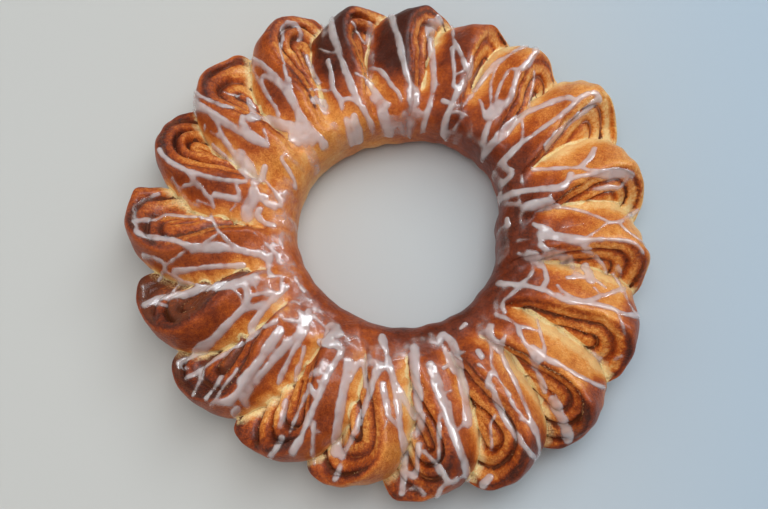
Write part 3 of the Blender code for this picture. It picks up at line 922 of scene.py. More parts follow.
def filling_mesh(roll, sizes, filling):
    """One spiral strip of filling, which runs from the cut face into the roll."""
    along, above, outward, loop = seam_spiral(roll, sizes)
    up = above + roll.coil_up
    spine = np.clip(along, -SPINE_TOWARDS_ROOT, SPINE_BEYOND_COIL)
    distance = np.hypot(along - spine, up)
    half_height = HALF_HEIGHT * roll.size
    within = half_height - FILLING_EDGE
    inward = np.minimum(1.0, within / np.maximum(distance, 1e-6))
    along, up = spine + (along - spine) * inward, up * inward
    centre = np.clip(1.0 - loop / half_height, 0.0, 1.0)
    radius = roll.reach - COIL_FROM_TIP + along
    width = np.maximum(radius, FILLING_FROM_MIDDLE) * np.cos(lean_at(roll, radius))
    half_front = width * math.tan(roll.front_gap) + ROLL_OVERLAP
    sunk = SUNK_AT_BAND * (1.0 - smooth_step(*SUNK_ZONE, radius))
    sunk = sunk + SUNK_AT_EDGE * smooth_step(within - FILLING_EDGE_FADE, within, distance)
    face = -half_front - sizes.coil_rise * centre - sag_at(up) + sunk
    draw = np.random.default_rng(SEED * 7 + roll.number)
    places, knots = np.arange(len(along)), np.arange(0, len(along) + 6, 6)
    wave = np.interp(places, knots, draw.uniform(-1.2, 1.2, len(knots)))
    stand_out = filling.stand_out * (0.1 + 0.9 * wave)
    half_width = filling.width / 2 * (1.0 + 0.2 * wave)
    half_width = half_width * np.minimum(1.0, np.minimum(places, places[::-1]) / 6 + 0.3)
    rings = []
    for across, share in ((-1, 0.5), (-0.6, 1.0), (0.6, 1.0), (1, 0.5)):  # a rounded front
        rings.append((across, face - stand_out * share))
    for across in (1, -1):
        rings.append((across, face + filling.depth))
    points = []
    for across, through in rings:
        aside, upward = across * half_width * outward
        points.append(roll_points(roll, through, along + aside, up + upward))
    points = np.stack(points, axis=1)
    name = f"filling_{roll.number:02d}"
    return mesh_from_arrays(name, points.reshape(-1, 3), bar_faces(*points.shape[:2]))


def scatter_grains(mesh, weights, count, size, seed):
    """A joined mesh of small uneven grains that lie on a mesh, most where the weight is high."""
    draw = np.random.default_rng(seed)
    points, normals = mesh_points(mesh), mesh_normals(mesh)
    chosen = draw.choice(len(points), count, p=weights / weights.sum())
    centres = points[chosen] + normals[chosen] * size * 0.15
    centres = centres + draw.normal(0.0, 0.0004, centres.shape)
    corners = np.array([(1, 0, 0), (-1, 0, 0), (0, 1, 0), (0, -1, 0), (0, 0, 1), (0, 0, -1)])
    sizes = size * draw.uniform(0.3, 0.8, (count, 1, 1))
    grains = corners * sizes * draw.uniform(0.6, 1.3, (count, 6, 1))
    turns = np.linalg.qr(draw.normal(size=(count, 3, 3)))[0]
    turns *= np.sign(np.linalg.det(turns))[:, None, None]
    grains = grains @ turns + centres[:, None, :]
    faces = np.array([(a, b, c) for a in (0, 1) for b in (2, 3) for c in (4, 5)])
    inside_out = np.linalg.det(corners[faces]) < 0
    faces[inside_out] = faces[inside_out, ::-1]
    all_faces = (faces[None] + len(corners) * np.arange(count)[:, None, None]).reshape(-1, 3)
    return mesh_from_arrays("sugar", grains.reshape(-1, 3), all_faces)


# === Meshes ===


def mesh_from_arrays(name, points, faces):
    """A mesh from an array of points and an array of faces that all have as many corners."""
    corners = faces.shape[1]
    mesh = bpy.data.meshes.new(name)
    mesh.vertices.add(len(points))
    mesh.vertices.foreach_set("co", np.ascontiguousarray(points, np.float32).ravel())
    mesh.loops.add(faces.size)
    mesh.loops.foreach_set("vertex_index", np.ascontiguousarray(faces, np.int32).ravel())
    mesh.polygons.add(len(faces))
    mesh.polygons.foreach_set("loop_start", np.arange(0, faces.size, corners, dtype=np.int32))
    mesh.update(calc_edges=True)
    mesh.validate()
    return mesh


def mesh_from_field(name, field, low, step):
    """The surface where a grid field is zero, as a mesh of small four-sided faces."""
    grid = openvdb.FloatGrid(background=0.01)
    grid.copyFromArray(field)
    points, _, quads = grid.convertToPolygons(isovalue=0.0, adaptivity=0.0)
    points = points * step + np.array(low, np.float32)
    return mesh_from_arrays(name, points, quads[:, ::-1])


def add_piece(name, mesh, material, smooth=True):
    """An object for a piece that rides on the wreath."""
    mesh.materials.append(material)
    if smooth:
        mesh.shade_smooth()
    piece = bpy.data.objects.new(name, mesh)
    bpy.context.scene.collection.objects.link(piece)
    mesh.transform(Matrix.Translation(-Vector(WREATH_MIDDLE)))
    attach(piece, BODY)
    return piece


def thin_out(piece):
    """Collapses the flattest edges until the piece has few enough triangles."""
    triangles = sum(len(face.vertices) - 2 for face in piece.data.polygons)
    if triangles <= MOST_TRIANGLES:
        return
    modifier = piece.modifiers.new("Thin out", "DECIMATE")
    modifier.ratio = MOST_TRIANGLES / triangles
    evaluated = piece.evaluated_get(bpy.context.evaluated_depsgraph_get())
    mesh = bpy.data.meshes.new_from_object(evaluated)
    piece.modifiers.remove(modifier)
    old = piece.data
    piece.data = mesh
    bpy.data.meshes.remove(old)
    mesh.shade_smooth()


def read_array(items, field, *width):
    """One property of all items of a mesh, as an array with this many values for each."""
    values = np.empty((len(items), *width), np.float32)
    items.foreach_get(field, values.ravel())
    return values


def mesh_points(mesh):
    """A placed piece's vertices, in the space that the fields are worked out in."""
    return read_array(mesh.vertices, "co", 3) + np.array(WREATH_MIDDLE, np.float32)


def mesh_normals(mesh):
    """The mesh's vertex normals."""
    return read_array(mesh.vertex_normals, "vector", 3)


def add_mask(mesh, name, values):
    """Stores a number for each vertex, which a material reads by this name."""
    mask = mesh.attributes.new(name, "FLOAT", "POINT")
    mask.data.foreach_set("value", np.ascontiguousarray(values, np.float32))


# === Masks: what each point of the crust looks like ===


CRUST_MASKS = ("browning", "crumb", "cinnamon", "cut")

# Where each look begins and where it is full, in metres.
OUTSIDE_BAND = (0.084, 0.098)  # from the hole's middle
BAND_TO_ROLLS = (0.078, 0.124)
CUT_FACE = (-0.0020, 0.0035)  # in front of the roll's other surfaces
INSIDE_FACE = (0.0015, 0.0050)  # inside the rim
AT_RIM = (-0.006, -0.001)
GAP = (0.0, 0.0160)  # to the neighbouring roll
DEEP_GAP = (0.0004, 0.0032)
OUTER_RIM = (0.020, 0.038)  # along the roll, from the swirl towards the tip
TIP = (0.010, 0.036)
CARAMEL_TIP = (0.018, 0.032)
LOW_FACE = (-0.016, 0.006)  # above the swirl's middle
CRUMB_HEIGHT = (0.010, 0.022)  # above the floor
RIM_HEIGHT = (0.018, 0.044)
SHOULDER_HEIGHT = (0.034, 0.056)
BASE_HEIGHT = (0.010, 0.034)
# How much each of them shifts the crust's browning; the shoulder's share also paints light on the
# side facing the window.
ALL_OVER_BROWNING = 0.05
SHOULDER_BROWNING = -0.30
CARAMEL_BROWNING = 0.50
GAP_BROWNING = -0.42
LOW_FACE_BROWNING = -0.26
BASE_BROWNING = -0.12


def crust_masks(rolls, points, dough):
    """Browning with painted shade and light, pale crumb, cinnamon and cut face at each point, from
    its place on its roll.
    """
    x, y, z = points.T
    fields = [roll_field(roll, x, y, z, dough) for roll in rolls]
    bodies = np.stack([field.body for field in fields])
    nearest = np.argmin(bodies, axis=0)
    columns = np.arange(len(points))

    def own(values):
        return np.stack(values)[nearest, columns]

    neighbour = np.maximum(np.partition(bodies, 1, axis=0)[1], 0.0)
    front, rim, back, along, winding = (
        own([getattr(field, name) for field in fields])
        for name in ("front", "rim", "back", "along", "winding")
    )
    above = own([field.up - roll.coil_up for field, roll in zip(fields, rolls)])
    pitch = np.array([winding_pitch(roll, dough) for roll in rolls])[nearest]
    face_look, skin_look, sugar = np.array(ROLL_LOOKS)[nearest].T
    radius = np.hypot(x - HOLE_CENTRE[0], y - HOLE_CENTRE[1])
    azimuth = np.degrees(np.arctan2(y, x)) % 360.0

    outside_band = smooth_step(*OUTSIDE_BAND, radius)
    cut_face = smooth_step(*CUT_FACE, front - np.maximum(rim, back)) * outside_band
    seam = np.minimum(winding - np.floor(winding), np.ceil(winding) - winding) * pitch
    patchy = 0.55 + 0.45 * np.sin(2.3 * winding + 40.0 * along + 1.3 * nearest)
    wobble = 0.0004 * (np.sin(900.0 * along + 3.0 * nearest) + np.sin(1300.0 * above + winding))
    stain = 1.0 - smooth_step(0.0001, 0.0009 + 0.0018 * sugar, seam + wobble)
    stain = stain * (0.15 + 0.85 * patchy)
    ribbon = np.sin(2.1 * np.floor(winding) + 1.7 * nearest) > 1.1 - 1.5 * sugar
    inside = smooth_step(*INSIDE_FACE, -rim)
    cinnamon = cut_face * np.maximum(stain * inside, 0.62 * sugar * ribbon)

    gap = 1.0 - smooth_step(*GAP, neighbour)
    deep_gap = 1.0 - smooth_step(*DEEP_GAP, neighbour)
    low_face = cut_face * (1.0 - smooth_step(*LOW_FACE, above))
    crumb = deep_gap * outside_band * smooth_step(*CRUMB_HEIGHT, z)
    crumb = np.maximum(0.90 * crumb, 0.55 * low_face * gap)

    stops = np.array(BAND_BROWNING + ((360, BAND_BROWNING[0][1]),))
    band = np.interp(azimuth, stops[:, 0], stops[:, 1])
    outer_rim = smooth_step(*OUTER_RIM, along) * (1.0 - smooth_step(*RIM_HEIGHT, z))
    # 1 on the side away from the window: the crust terms below paint shade there and light on the
    #                                     side facing it.
    dark_side = darker_side(np.radians(azimuth))
    browning = skin_look + (face_look - skin_look) * cut_face
    # Skin low on the rolls is made paler, most on the side facing the window: paler crust, with
    # painted light on that side.
    pale_shoulder = (1.0 - cut_face) * (1.0 - 0.8 * dark_side)
    shoulder = pale_shoulder * (1.0 - smooth_step(*SHOULDER_HEIGHT, z))
    browning = browning + SHOULDER_BROWNING * shoulder
    browning = band + (browning - band) * smooth_step(*BAND_TO_ROLLS, radius)
    # Roll tips are painted darker on the side away from the window and lighter on the side facing
    # it: painted shade and painted light.
    tip = smooth_step(*TIP, along)
    tip = tip * (0.45 * dark_side * cut_face + (0.24 * dark_side - 0.16) * (1.0 - cut_face))
    # Layers on the cut faces are painted darker towards the seams between them and lighter on
    # their crests: painted shade and painted light.
    strand = (0.18 - 0.34 * smooth_step(0.05, 0.75, 2.0 * seam / pitch)) * cut_face * inside
    caramel = smooth_step(0.75, 0.97, np.cos(np.radians(azimuth - CARAMEL_SIDE)))
    caramel = caramel * smooth_step(*CARAMEL_TIP, along) * smooth_step(*AT_RIM, rim)
    # The low outer rims are darkened all round, and more on the side away from the window, where
    # the extra is painted shade.
    browning = browning + (0.12 + 0.30 * dark_side) * outer_rim + CARAMEL_BROWNING * caramel
    browning = browning + tip + strand + ALL_OVER_BROWNING
    browning = browning + GAP_BROWNING * gap * outside_band * (1.0 - cut_face)
    browning = browning + LOW_FACE_BROWNING * low_face
    base = (1.0 - smooth_step(*BASE_HEIGHT, z)) * (1.0 - outer_rim)
    browning = browning + BASE_BROWNING * base
    return [np.clip(mask, 0.0, 1.0) for mask in (browning, crumb, cinnamon, cut_face)]


def store_crust_masks(mesh, rolls, dough):
    """Stores the masks on a mesh."""
    masks = crust_masks(rolls, mesh_points(mesh), dough)
    for name, values in zip(CRUST_MASKS, masks):
        add_mask(mesh, name, values)


# === Materials ===


def srgb(red, green, blue):
    """A colour given as it looks on screen, 0 to 255, as linear values."""
    shares = [value / 255.0 for value in (red, green, blue)]
    return tuple(
        share / 12.92 if share <= 0.04045 else ((share + 0.055) / 1.055) ** 2.4
        for share in shares
    )


def set_inputs(node, inputs):
    """Sets a node's inputs to values, or links them where a socket is given."""
    for name, value in inputs.items():
        socket = node.inputs[name]
        if isinstance(value, bpy.types.NodeSocket):
            node.id_data.links.new(value, socket)
        elif socket.type == "RGBA" and len(value) == 3:
            socket.default_value = (*value, 1.0)
        else:
            socket.default_value = value


def add_node(tree, kind, inputs=None, **settings):
    """A shader node with its settings and inputs."""
    node = tree.nodes.new(kind)
    for name, value in settings.items():
        setattr(node, name, value)
    set_inputs(node, inputs or {})
    return node


def add_math(tree, operation, *values):
    """The output of a math node."""
    node = add_node(tree, "ShaderNodeMath", dict(enumerate(values)), operation=operation)
    return node.outputs[0]


def add_range(tree, value, low, high, start=0.0, end=1.0):
    """A value moved from one range to another, with soft ends."""
    inputs = {"Value": value, "From Min": low, "From Max": high, "To Min": start, "To Max": end}
    node = add_node(tree, "ShaderNodeMapRange", inputs, interpolation_type="SMOOTHSTEP")
    return node.outputs["Result"]


def add_mix(tree, share, first, second):
    """Two colours mixed by a share."""
    inputs = {0: share, 6: first, 7: second}  # the places of a mix node's sockets for colours
    return add_node(tree, "ShaderNodeMix", inputs, data_type="RGBA").outputs[2]


def add_bump(tree, height, strength, distance):
    """The normals of a surface that this height roughens."""
    inputs = {"Height": height, "Strength": strength, "Distance": distance}
    return add_node(tree, "ShaderNodeBump", inputs).outputs["Normal"]


def add_noise(tree, scale, detail=3.0, roughness=0.55, distortion=0.0):
    """Noise over the piece, in its own coordinates."""
    inputs = {
        "Vector": add_node(tree, "ShaderNodeTexCoord").outputs["Object"],
        "Scale": scale,
        "Detail": detail,
        "Roughness": roughness,
        "Distortion": distortion,
    }
    return add_node(tree, "ShaderNodeTexNoise", inputs).outputs["Fac"]


def new_group(name, inputs, outputs):
    """An empty shader node group with named sockets. Returns the tree and its two end nodes."""
    group = bpy.data.node_groups.new(name, "ShaderNodeTree")
    for way, sockets in (("INPUT", inputs), ("OUTPUT", outputs)):
        for socket_name, kind in sockets.items():
            group.interface.new_socket(socket_name, in_out=way, socket_type=kind)
    return group, group.nodes.new("NodeGroupInput"), group.nodes.new("NodeGroupOutput")


def crust_colour_group(look):
    """Baked dough's colour from its masks: browned crust with painted shade and light, pale crumb
    and cinnamon stains.
    """
    found = bpy.data.node_groups.get("Baked colour")
    if found:
        return found
    group, start, end = new_group(
        "Baked colour",
        {mask.capitalize(): "NodeSocketFloat" for mask in CRUST_MASKS},
        {"Color": "NodeSocketColor", "Cinnamon": "NodeSocketFloat"},
    )
    given = start.outputs
    broad = add_noise(group, 38.0, 3.0)
    small = add_noise(group, 260.0, 4.0, 0.65)
    grains = add_noise(group, 900.0, 2.0, 0.5)
    fibres = add_noise(group, 520.0, 2.0, 0.6, 1.5)
    specks = add_noise(group, 1300.0, 2.0, 0.6)
    shifted = given["Browning"]
    for noise, share in ((broad, 0.62), (small, 0.34), (fibres, 0.30), (specks, 0.46)):
        shifted = add_math(group, "MULTIPLY_ADD", noise, share, shifted)
    shifted = add_math(group, "SUBTRACT", shifted, 0.86)
    torn_patches = add_math(group, "SUBTRACT", add_noise(group, 310.0, 3.0, 0.7), 0.5)
    torn_patches = add_math(group, "MULTIPLY", torn_patches, 0.75)
    shifted = add_math(group, "MULTIPLY_ADD", torn_patches, given["Cut"], shifted)
    ramp = add_node(group, "ShaderNodeValToRGB", {"Fac": shifted})
    shades = (
        look.pale_crust, look.golden_crust, look.brown_crust, look.deep_crust, look.dark_crust
    )
    elements = ramp.color_ramp.elements
    while len(elements) < len(shades):
        elements.new(1.0)
    for number, (element, shade) in enumerate(zip(elements, shades)):
        element.position = number / (len(shades) - 1)
        element.color = (*shade, 1.0)
    crumb_edge = add_math(group, "MULTIPLY_ADD", small, 0.5, given["Crumb"])
    crumb_share = add_range(group, crumb_edge, 0.55, 0.85)
    golden_share = add_range(group, fibres, 0.45, 0.75, 0.0, 0.6)
    torn = add_mix(group, golden_share, look.crumb, look.golden_crust)
    crust = add_mix(group, crumb_share, ramp.outputs["Color"], torn)
    speckle = add_math(group, "MULTIPLY_ADD", grains, 0.7, given["Cinnamon"])
    speckle = add_math(group, "MULTIPLY_ADD", small, 0.35, speckle)
    stain = add_range(group, speckle, 0.80, 1.25)
    stained = add_mix(group, stain, crust, look.cinnamon)
    set_inputs(end, {"Color": stained, "Cinnamon": stain})
    return group


def new_material(name):
    """A material with one Principled shader. Returns the material, its tree and the shader."""
    material = bpy.data.materials.new(name)
    material.use_nodes = True
    return material, material.node_tree, material.node_tree.nodes["Principled BSDF"]


def read_mask(tree, name):
    """The output that gives a mask stored on the mesh."""
    return add_node(tree, "ShaderNodeAttribute", attribute_name=name).outputs["Fac"]


def baked_colour(tree, look):
    """The baked dough's colour at this point, and how much cinnamon lies on it."""
    group = crust_colour_group(look)
    masks = {mask.capitalize(): read_mask(tree, mask) for mask in CRUST_MASKS}
    return add_node(tree, "ShaderNodeGroup", masks, node_tree=group).outputs


def dough_material(look):
    """Egg-washed crust: soft gloss on the skin, matt where crumb or cinnamon lies open."""
    material, tree, shader = new_material("Baked dough")
    baked = baked_colour(tree, look)
    glaze = read_mask(tree, "glaze")
    wetness = add_math(tree, "MULTIPLY", glaze, add_noise(tree, 60.0))
    wetness = add_math(tree, "MULTIPLY", wetness, 0.10)
    rough = add_math(tree, "MULTIPLY_ADD", read_mask(tree, "crumb"), 0.35, 0.40)
    rough = add_math(tree, "MULTIPLY_ADD", baked["Cinnamon"], 0.12, rough)
    lumps = add_noise(tree, 90.0, 2.0)
    wrinkles = add_math(tree, "MULTIPLY_ADD", lumps, 1.6, add_noise(tree, 420.0, 4.0, 0.6))
    grains = add_noise(tree, 1300.0, 2.0)
    height = add_math(tree, "MULTIPLY_ADD", grains, baked["Cinnamon"], wrinkles)
    torn = add_math(tree, "MULTIPLY", add_noise(tree, 310.0, 3.0, 0.7), 2.4)
    height = add_math(tree, "MULTIPLY_ADD", torn, read_mask(tree, "cut"), height)
    looks = {
        "Base Color": add_mix(tree, wetness, baked["Color"], look.wet_crust),
        "Roughness": rough,
        "Normal": add_bump(tree, height, 0.55, 0.0012),
        "Coat Weight": add_math(tree, "MULTIPLY", glaze, 0.15),
        "Coat Roughness": 0.12,
        "Subsurface Weight": 0.12,
        "Subsurface Radius": (0.004, 0.002, 0.001),
        "Subsurface Scale": 0.6,
        "Specular IOR Level": 0.12,
    }
    set_inputs(shader, looks)
    return material


def icing_material(look):
    """Runny white icing: milky where it is thick, nearly clear where it has run out thin."""
    material, tree, shader = new_material("Icing")
    body = read_mask(tree, "body")
    cloud = add_noise(tree, 150.0, 3.0)
    shifted = add_math(tree, "MULTIPLY_ADD", cloud, 0.5, add_math(tree, "SUBTRACT", body, 0.25))
    milky = add_range(tree, shifted, 0.0, 0.85)
    looks = {
        "Base Color": add_mix(tree, milky, look.thin, look.thick),
        "Alpha": add_range(tree, shifted, 0.04, 1.15, 0.03, 0.60),
        "Roughness": add_range(tree, cloud, 0.3, 0.7, 0.08, 0.16),
        "Normal": add_bump(tree, add_noise(tree, 260.0, 2.0), 0.4, 0.0008),
        "Subsurface Weight": 0.25,
        "Subsurface Radius": (0.003, 0.0025, 0.002),
        "Subsurface Scale": 0.5,
        "Specular IOR Level": 0.6,
        "Coat Weight": 1.0,
        "Coat Roughness": 0.05,
        "Coat IOR": 1.8,
    }
    set_inputs(shader, looks)
    return material


def filling_material(look):
    """Cinnamon and brown sugar: dark, grainy and a little sticky."""
    material, tree, shader = new_material("Cinnamon filling")
    grains = add_noise(tree, 1100.0, 3.0, 0.6)
    patches = add_noise(tree, 160.0, 3.0)
    share = add_math(tree, "MULTIPLY_ADD", grains, 0.6, add_math(tree, "MULTIPLY", patches, 0.5))
    looks = {
        "Base Color": add_mix(tree, add_range(tree, share, 0.35, 0.75), look.dark, look.light),
        "Roughness": add_range(tree, patches, 0.3, 0.7, 0.35, 0.7),
        "Normal": add_bump(tree, grains, 0.7, 0.0006),
    }
    set_inputs(shader, looks)
    return material


def sugar_material(look):
    """Brown sugar grains, half melted."""
    material, tree, shader = new_material("Brown sugar")
    patches = add_noise(tree, 700.0, 2.0)
    light = add_range(tree, patches, 0.35, 0.65)
    looks = {
        "Base Color": add_mix(tree, light, look.dark_sugar, look.light_sugar),
        "Roughness": add_range(tree, patches, 0.3, 0.7, 0.15, 0.4),
    }
    set_inputs(shader, looks)
    return material


# === Settings ===


def length(name, description, default):
    """A size that a user can change."""
    return bpy.props.FloatProperty(
        name=name, description=description, default=default, min=0.0, unit="LENGTH", precision=4
    )


def power(name, description, default):
    """The power of a lamp, in watts."""
    return bpy.props.FloatProperty(
        name=name, description=description, default=default, min=0.0, unit="POWER"
    )


def colour(name, description, red, green, blue):
    """A colour that a user can change, given as it looks on screen."""
    return bpy.props.FloatVectorProperty(
        name=name,
        description=description,
        default=srgb(red, green, blue),
        subtype="COLOR",
        min=0.0,
        max=1.0,
    )


class WreathDough(bpy.types.PropertyGroup):
    """Sizes and colours of the baked dough."""

    layer_thickness: length("Layer", "Thickness of one layer of dough in a swirl", 0.0096)
    groove_depth: length("Groove depth", "How deep the seams between the layers lie", 0.0056)
    coil_rise: length("Coil rise", "How far a swirl's middle stands out", 0.0025)
    front_rounding: length("Front rounding", "Rounding at the edge of a cut face", 0.0050)
    back_rounding: length("Back rounding", "Rounding of the skin on a roll's back", 0.0120)
    pale_crust: colour("Pale crust", "Crust that has hardly browned", 250, 208, 138)
    golden_crust: colour("Golden crust", "Lightly browned crust", 233, 152, 68)
    brown_crust: colour("Brown crust", "Well browned crust", 186, 86, 18)
    deep_crust: colour("Deep crust", "Deeply browned crust", 127, 47, 8)
    dark_crust: colour("Dark crust", "The darkest ridges", 64, 20, 4)
    crumb: colour("Crumb", "Crumb that shows in the cracks", 253, 229, 168)
    cinnamon: colour("Cinnamon", "Cinnamon sugar on the cut faces", 104, 50, 20)
    wet_crust: colour("Wet crust", "Crust next to the icing, with a film of it", 214, 164, 150)


class WreathIcing(bpy.types.PropertyGroup):
    """Sizes and colours of the icing."""

    thickness: length("Thickness", "How thick the drizzled strokes lie", 0.0014)
    spread: bpy.props.FloatProperty(
        name="Spread", description="How far the strokes have spread sideways", default=1.0, min=0.1
    )
    thin: colour("Thin", "Icing that has run out thin", 219, 190, 177)
    thick: colour("Thick", "Icing where it lies thick", 243, 230, 227)


class WreathFilling(bpy.types.PropertyGroup):
    """Sizes and colours of the filling and of the sugar."""

    width: length("Width", "Thickness of the filling between two layers of dough", 0.0013)
    depth: length("Depth", "How far the filling is modelled into the roll", 0.0040)
    stand_out: length("Stand out", "How far the filling stands out of a seam", 0.0005)
    grain: length("Grain", "Size of a sugar grain", 0.0008)
    grain_count: bpy.props.IntProperty(
        name="Grains", description="How many sugar grains lie on the wreath", default=5000, min=1
    )
    dark: colour("Dark", "Cinnamon in the seams", 108, 52, 22)
    light: colour("Light", "Sugar in the seams", 178, 100, 46)
    dark_sugar: colour("Dark sugar", "Darker grains", 120, 62, 30)
    light_sugar: colour("Light sugar", "Lighter grains", 214, 160, 104)


class WreathStage(bpy.types.PropertyGroup):
    """Floor, lights and camera."""

    floor: colour("Floor", "Pale floor", 204, 203, 198)
    # Painted window light: the floor's bluish colour on the window side.
    cool_floor: colour("Cool floor", "The floor on the side of the window", 178, 194, 207)
    key_power: power("Key", "Power of the window light", 21.0)
    glint_power: power("Glint", "Power of the light that shows in gloss", 60.0)
    ceiling_power: power("Ceiling", "Power of the soft light from above", 26.0)
    fill_power: power("Fill", "Power of the fill light", 3.0)
    world_light: bpy.props.FloatProperty(
        name="World", description="Strength of the light all round", default=0.23, min=0.0
    )


# === Operators ===


class WREATH_OT_dough(bpy.types.Operator):
    """Makes the baked dough"""

    bl_idname = "wreath.dough"
    bl_label = "Dough"

    def execute(self, context):
        sizes, icing = read_sizes(context)
        rolls, field = wreath_grid(sizes)
        mesh = mesh_from_field("baked_dough", field, GRID_LOW, GRID_STEP)
        piece = add_piece("baked_dough", mesh, dough_material(context.scene.wreath_dough))
        thin_out(piece)
        store_crust_masks(piece.data, rolls, sizes)
        x, y, _ = mesh_points(piece.data).T
        nearby = read_map(icing_map(sizes, icing), x, y)
        add_mask(piece.data, "glaze", smooth_step(NO_ICING, 0.0, nearby))
        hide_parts("dough")
        return {"FINISHED"}


class WREATH_OT_filling(bpy.types.Operator):
    """Makes the strip of cinnamon filling in each roll"""

    bl_idname = "wreath.filling"
    bl_label = "Filling"

    def execute(self, context):
        sizes, _ = read_sizes(context)
        filling = context.scene.wreath_filling
        material = filling_material(filling)
        for roll in all_rolls():
            mesh = filling_mesh(roll, sizes, filling)
            piece = add_piece(f"cinnamon_{roll.number:02d}", mesh, material)
            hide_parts(f"filling_{roll.number:02d}")
        return {"FINISHED"}


class WREATH_OT_icing(bpy.types.Operator):
    """Makes the drizzled icing"""

    bl_idname = "wreath.icing"
    bl_label = "Icing"

    def execute(self, context):
        sizes, icing = read_sizes(context)
        mesh = mesh_from_field("icing", icing_grid(sizes, icing), GRID_LOW, GRID_STEP)
        piece = add_piece("icing", mesh, icing_material(context.scene.wreath_icing))
        thin_out(piece)
        x, y, _ = mesh_points(piece.data).T
        body = read_map(icing_map(sizes, icing), x, y)
        add_mask(piece.data, "body", np.clip(body / (0.85 * icing.thickness), 0.0, 1.2))
        return {"FINISHED"}


class WREATH_OT_sugar(bpy.types.Operator):
    """Scatters brown sugar over the cut faces"""

    bl_idname = "wreath.sugar"
    bl_label = "Sugar"

    def execute(self, context):
        filling = context.scene.wreath_filling
        dough = bpy.data.objects["baked_dough"].data
        cinnamon, glaze = (
            read_array(dough.attributes[mask].data, "value") for mask in ("cinnamon", "glaze")
        )
        facing_up = np.clip(mesh_normals(dough)[:, 2] + 0.2, 0.0, 1.0)
        weights = (cinnamon**1.5 * facing_up * (1.0 - glaze)).astype(np.float64)
        mesh = scatter_grains(dough, weights, filling.grain_count, filling.grain, SEED + 9)
        add_piece("sugar", mesh, sugar_material(filling), smooth=False)
        return {"FINISHED"}


def area_light(name, place, size, power, tint, lights):
    """A square lamp that points at the wreath and lights "all", "matt" or "glossy" looks."""
    lamp = bpy.data.lights.new(name, "AREA")
    lamp.shape = "SQUARE"
    lamp.size = size
    lamp.energy = power
    lamp.color = tint
    obj = bpy.data.objects.new(name, lamp)
    obj.visible_diffuse = lights != "glossy"
    obj.visible_glossy = lights != "matt"
    obj.location = place
    obj.rotation_euler = (-Vector(place)).to_track_quat("-Z", "Y").to_euler()
    bpy.context.scene.collection.objects.link(obj)


def build_camera():
    """The camera, at the photograph's viewing angle."""
    camera = bpy.data.cameras.new("Camera")
    camera.sensor_width = SENSOR_WIDTH
    camera.lens = CAMERA_LENS
    camera.clip_start = 0.01
    camera.shift_x, camera.shift_y = CAMERA_SHIFT
    obj = bpy.data.objects.new("Camera", camera)
    tilt = math.radians(CAMERA_TILT)
    aim = Vector(CAMERA_AIM) - Vector(WREATH_MIDDLE)
    obj.location = aim + Vector((0.0, -math.sin(tilt), math.cos(tilt))) * CAMERA_DISTANCE
    obj.rotation_euler = (tilt, 0.0, 0.0)
    bpy.context.scene.collection.objects.link(obj)
    bpy.context.scene.camera = obj


def build_floor(stage):
    """A wide pale floor, with the window's cool light painted on towards its right."""
    half = FLOOR_SIZE / 2
    points = np.array([(-half, -half, 0), (half, -half, 0), (half, half, 0), (-half, half, 0)])
    mesh = mesh_from_arrays("floor", points, np.array([(0, 1, 2, 3)]))
    material, tree, shader = new_material("Floor")
    place = add_node(tree, "ShaderNodeTexCoord").outputs["Object"]
    across = add_node(tree, "ShaderNodeSeparateXYZ", {"Vector": place}).outputs["X"]
    cloud = add_noise(tree, 3.0, 2.0)
    share = add_math(tree, "MULTIPLY_ADD", cloud, 0.06, add_range(tree, across, *COOL_ZONE))
    fade = add_range(tree, across, *COOL_FADE_ZONE, 1.0, COOL_LEFT)
    share = add_math(tree, "MULTIPLY", share, fade)
    tinted = add_mix(tree, share, stage.floor, stage.cool_floor)
    set_inputs(shader, {"Base Color": tinted, "Roughness": 0.9, "Specular IOR Level": 0.1})
    mesh.materials.append(material)
    floor = bpy.data.objects.new("floor", mesh)
    floor.location.z = -FLOOR_GAP
    bpy.context.scene.collection.objects.link(floor)


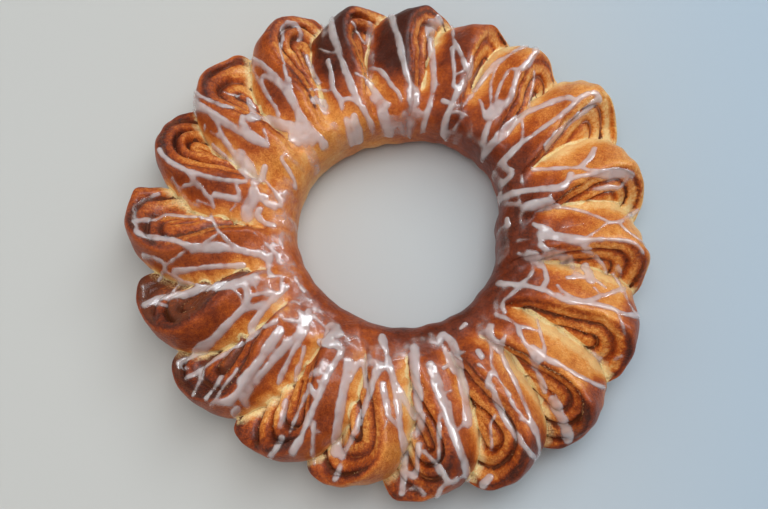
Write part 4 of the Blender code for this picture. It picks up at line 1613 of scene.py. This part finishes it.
class WREATH_OT_stage(bpy.types.Operator):
    """Makes the floor, the lights and the camera"""

    bl_idname = "wreath.stage"
    bl_label = "Stage"

    def execute(self, context):
        stage = context.scene.wreath_stage
        build_floor(stage)
        build_camera()
        for name, place, size, setting, share, tint, lights in LAMPS:
            area_light(name, place, size, share * getattr(stage, setting), tint, lights)
        world = bpy.data.worlds.new("Soft light")
        world.use_nodes = True
        background = world.node_tree.nodes["Background"]
        set_inputs(background, {"Color": WORLD_TINT, "Strength": stage.world_light})
        context.scene.world = world
        context.scene.view_settings.view_transform = "Standard"
        context.scene.view_settings.look = "None"
        return {"FINISHED"}


class WREATH_PT_pieces(bpy.types.Panel):
    """The wreath's pieces and its stage"""

    bl_label = "Cinnamon roll wreath"
    bl_idname = "WREATH_PT_pieces"
    bl_space_type = "VIEW_3D"
    bl_region_type = "UI"
    bl_category = "Wreath"

    def draw(self, context):
        for operator in OPERATORS:
            self.layout.operator(operator.bl_idname)


OPERATORS = (
    WREATH_OT_dough,
    WREATH_OT_filling,
    WREATH_OT_icing,
    WREATH_OT_sugar,
    WREATH_OT_stage,
)
SETTINGS = {
    "wreath_dough": WreathDough,
    "wreath_icing": WreathIcing,
    "wreath_filling": WreathFilling,
    "wreath_stage": WreathStage,
}


def register():
    """Adds the settings, the operators and the panel to Blender."""
    for name, settings in SETTINGS.items():
        bpy.utils.register_class(settings)
        setattr(bpy.types.Scene, name, bpy.props.PointerProperty(type=settings))
    for cls in (*OPERATORS, WREATH_PT_pieces):
        bpy.utils.register_class(cls)


def unregister():
    """Takes them out again."""
    for cls in (WREATH_PT_pieces, *reversed(OPERATORS)):
        bpy.utils.unregister_class(cls)
    for name, settings in SETTINGS.items():
        delattr(bpy.types.Scene, name)
        bpy.utils.unregister_class(settings)


def main():
    """Makes the whole wreath and its stage."""
    register()
    bpy.ops.wreath.dough()
    bpy.ops.wreath.filling()
    bpy.ops.wreath.icing()
    bpy.ops.wreath.sugar()
    bpy.ops.wreath.stage()


if __name__ == "__main__":
    main()
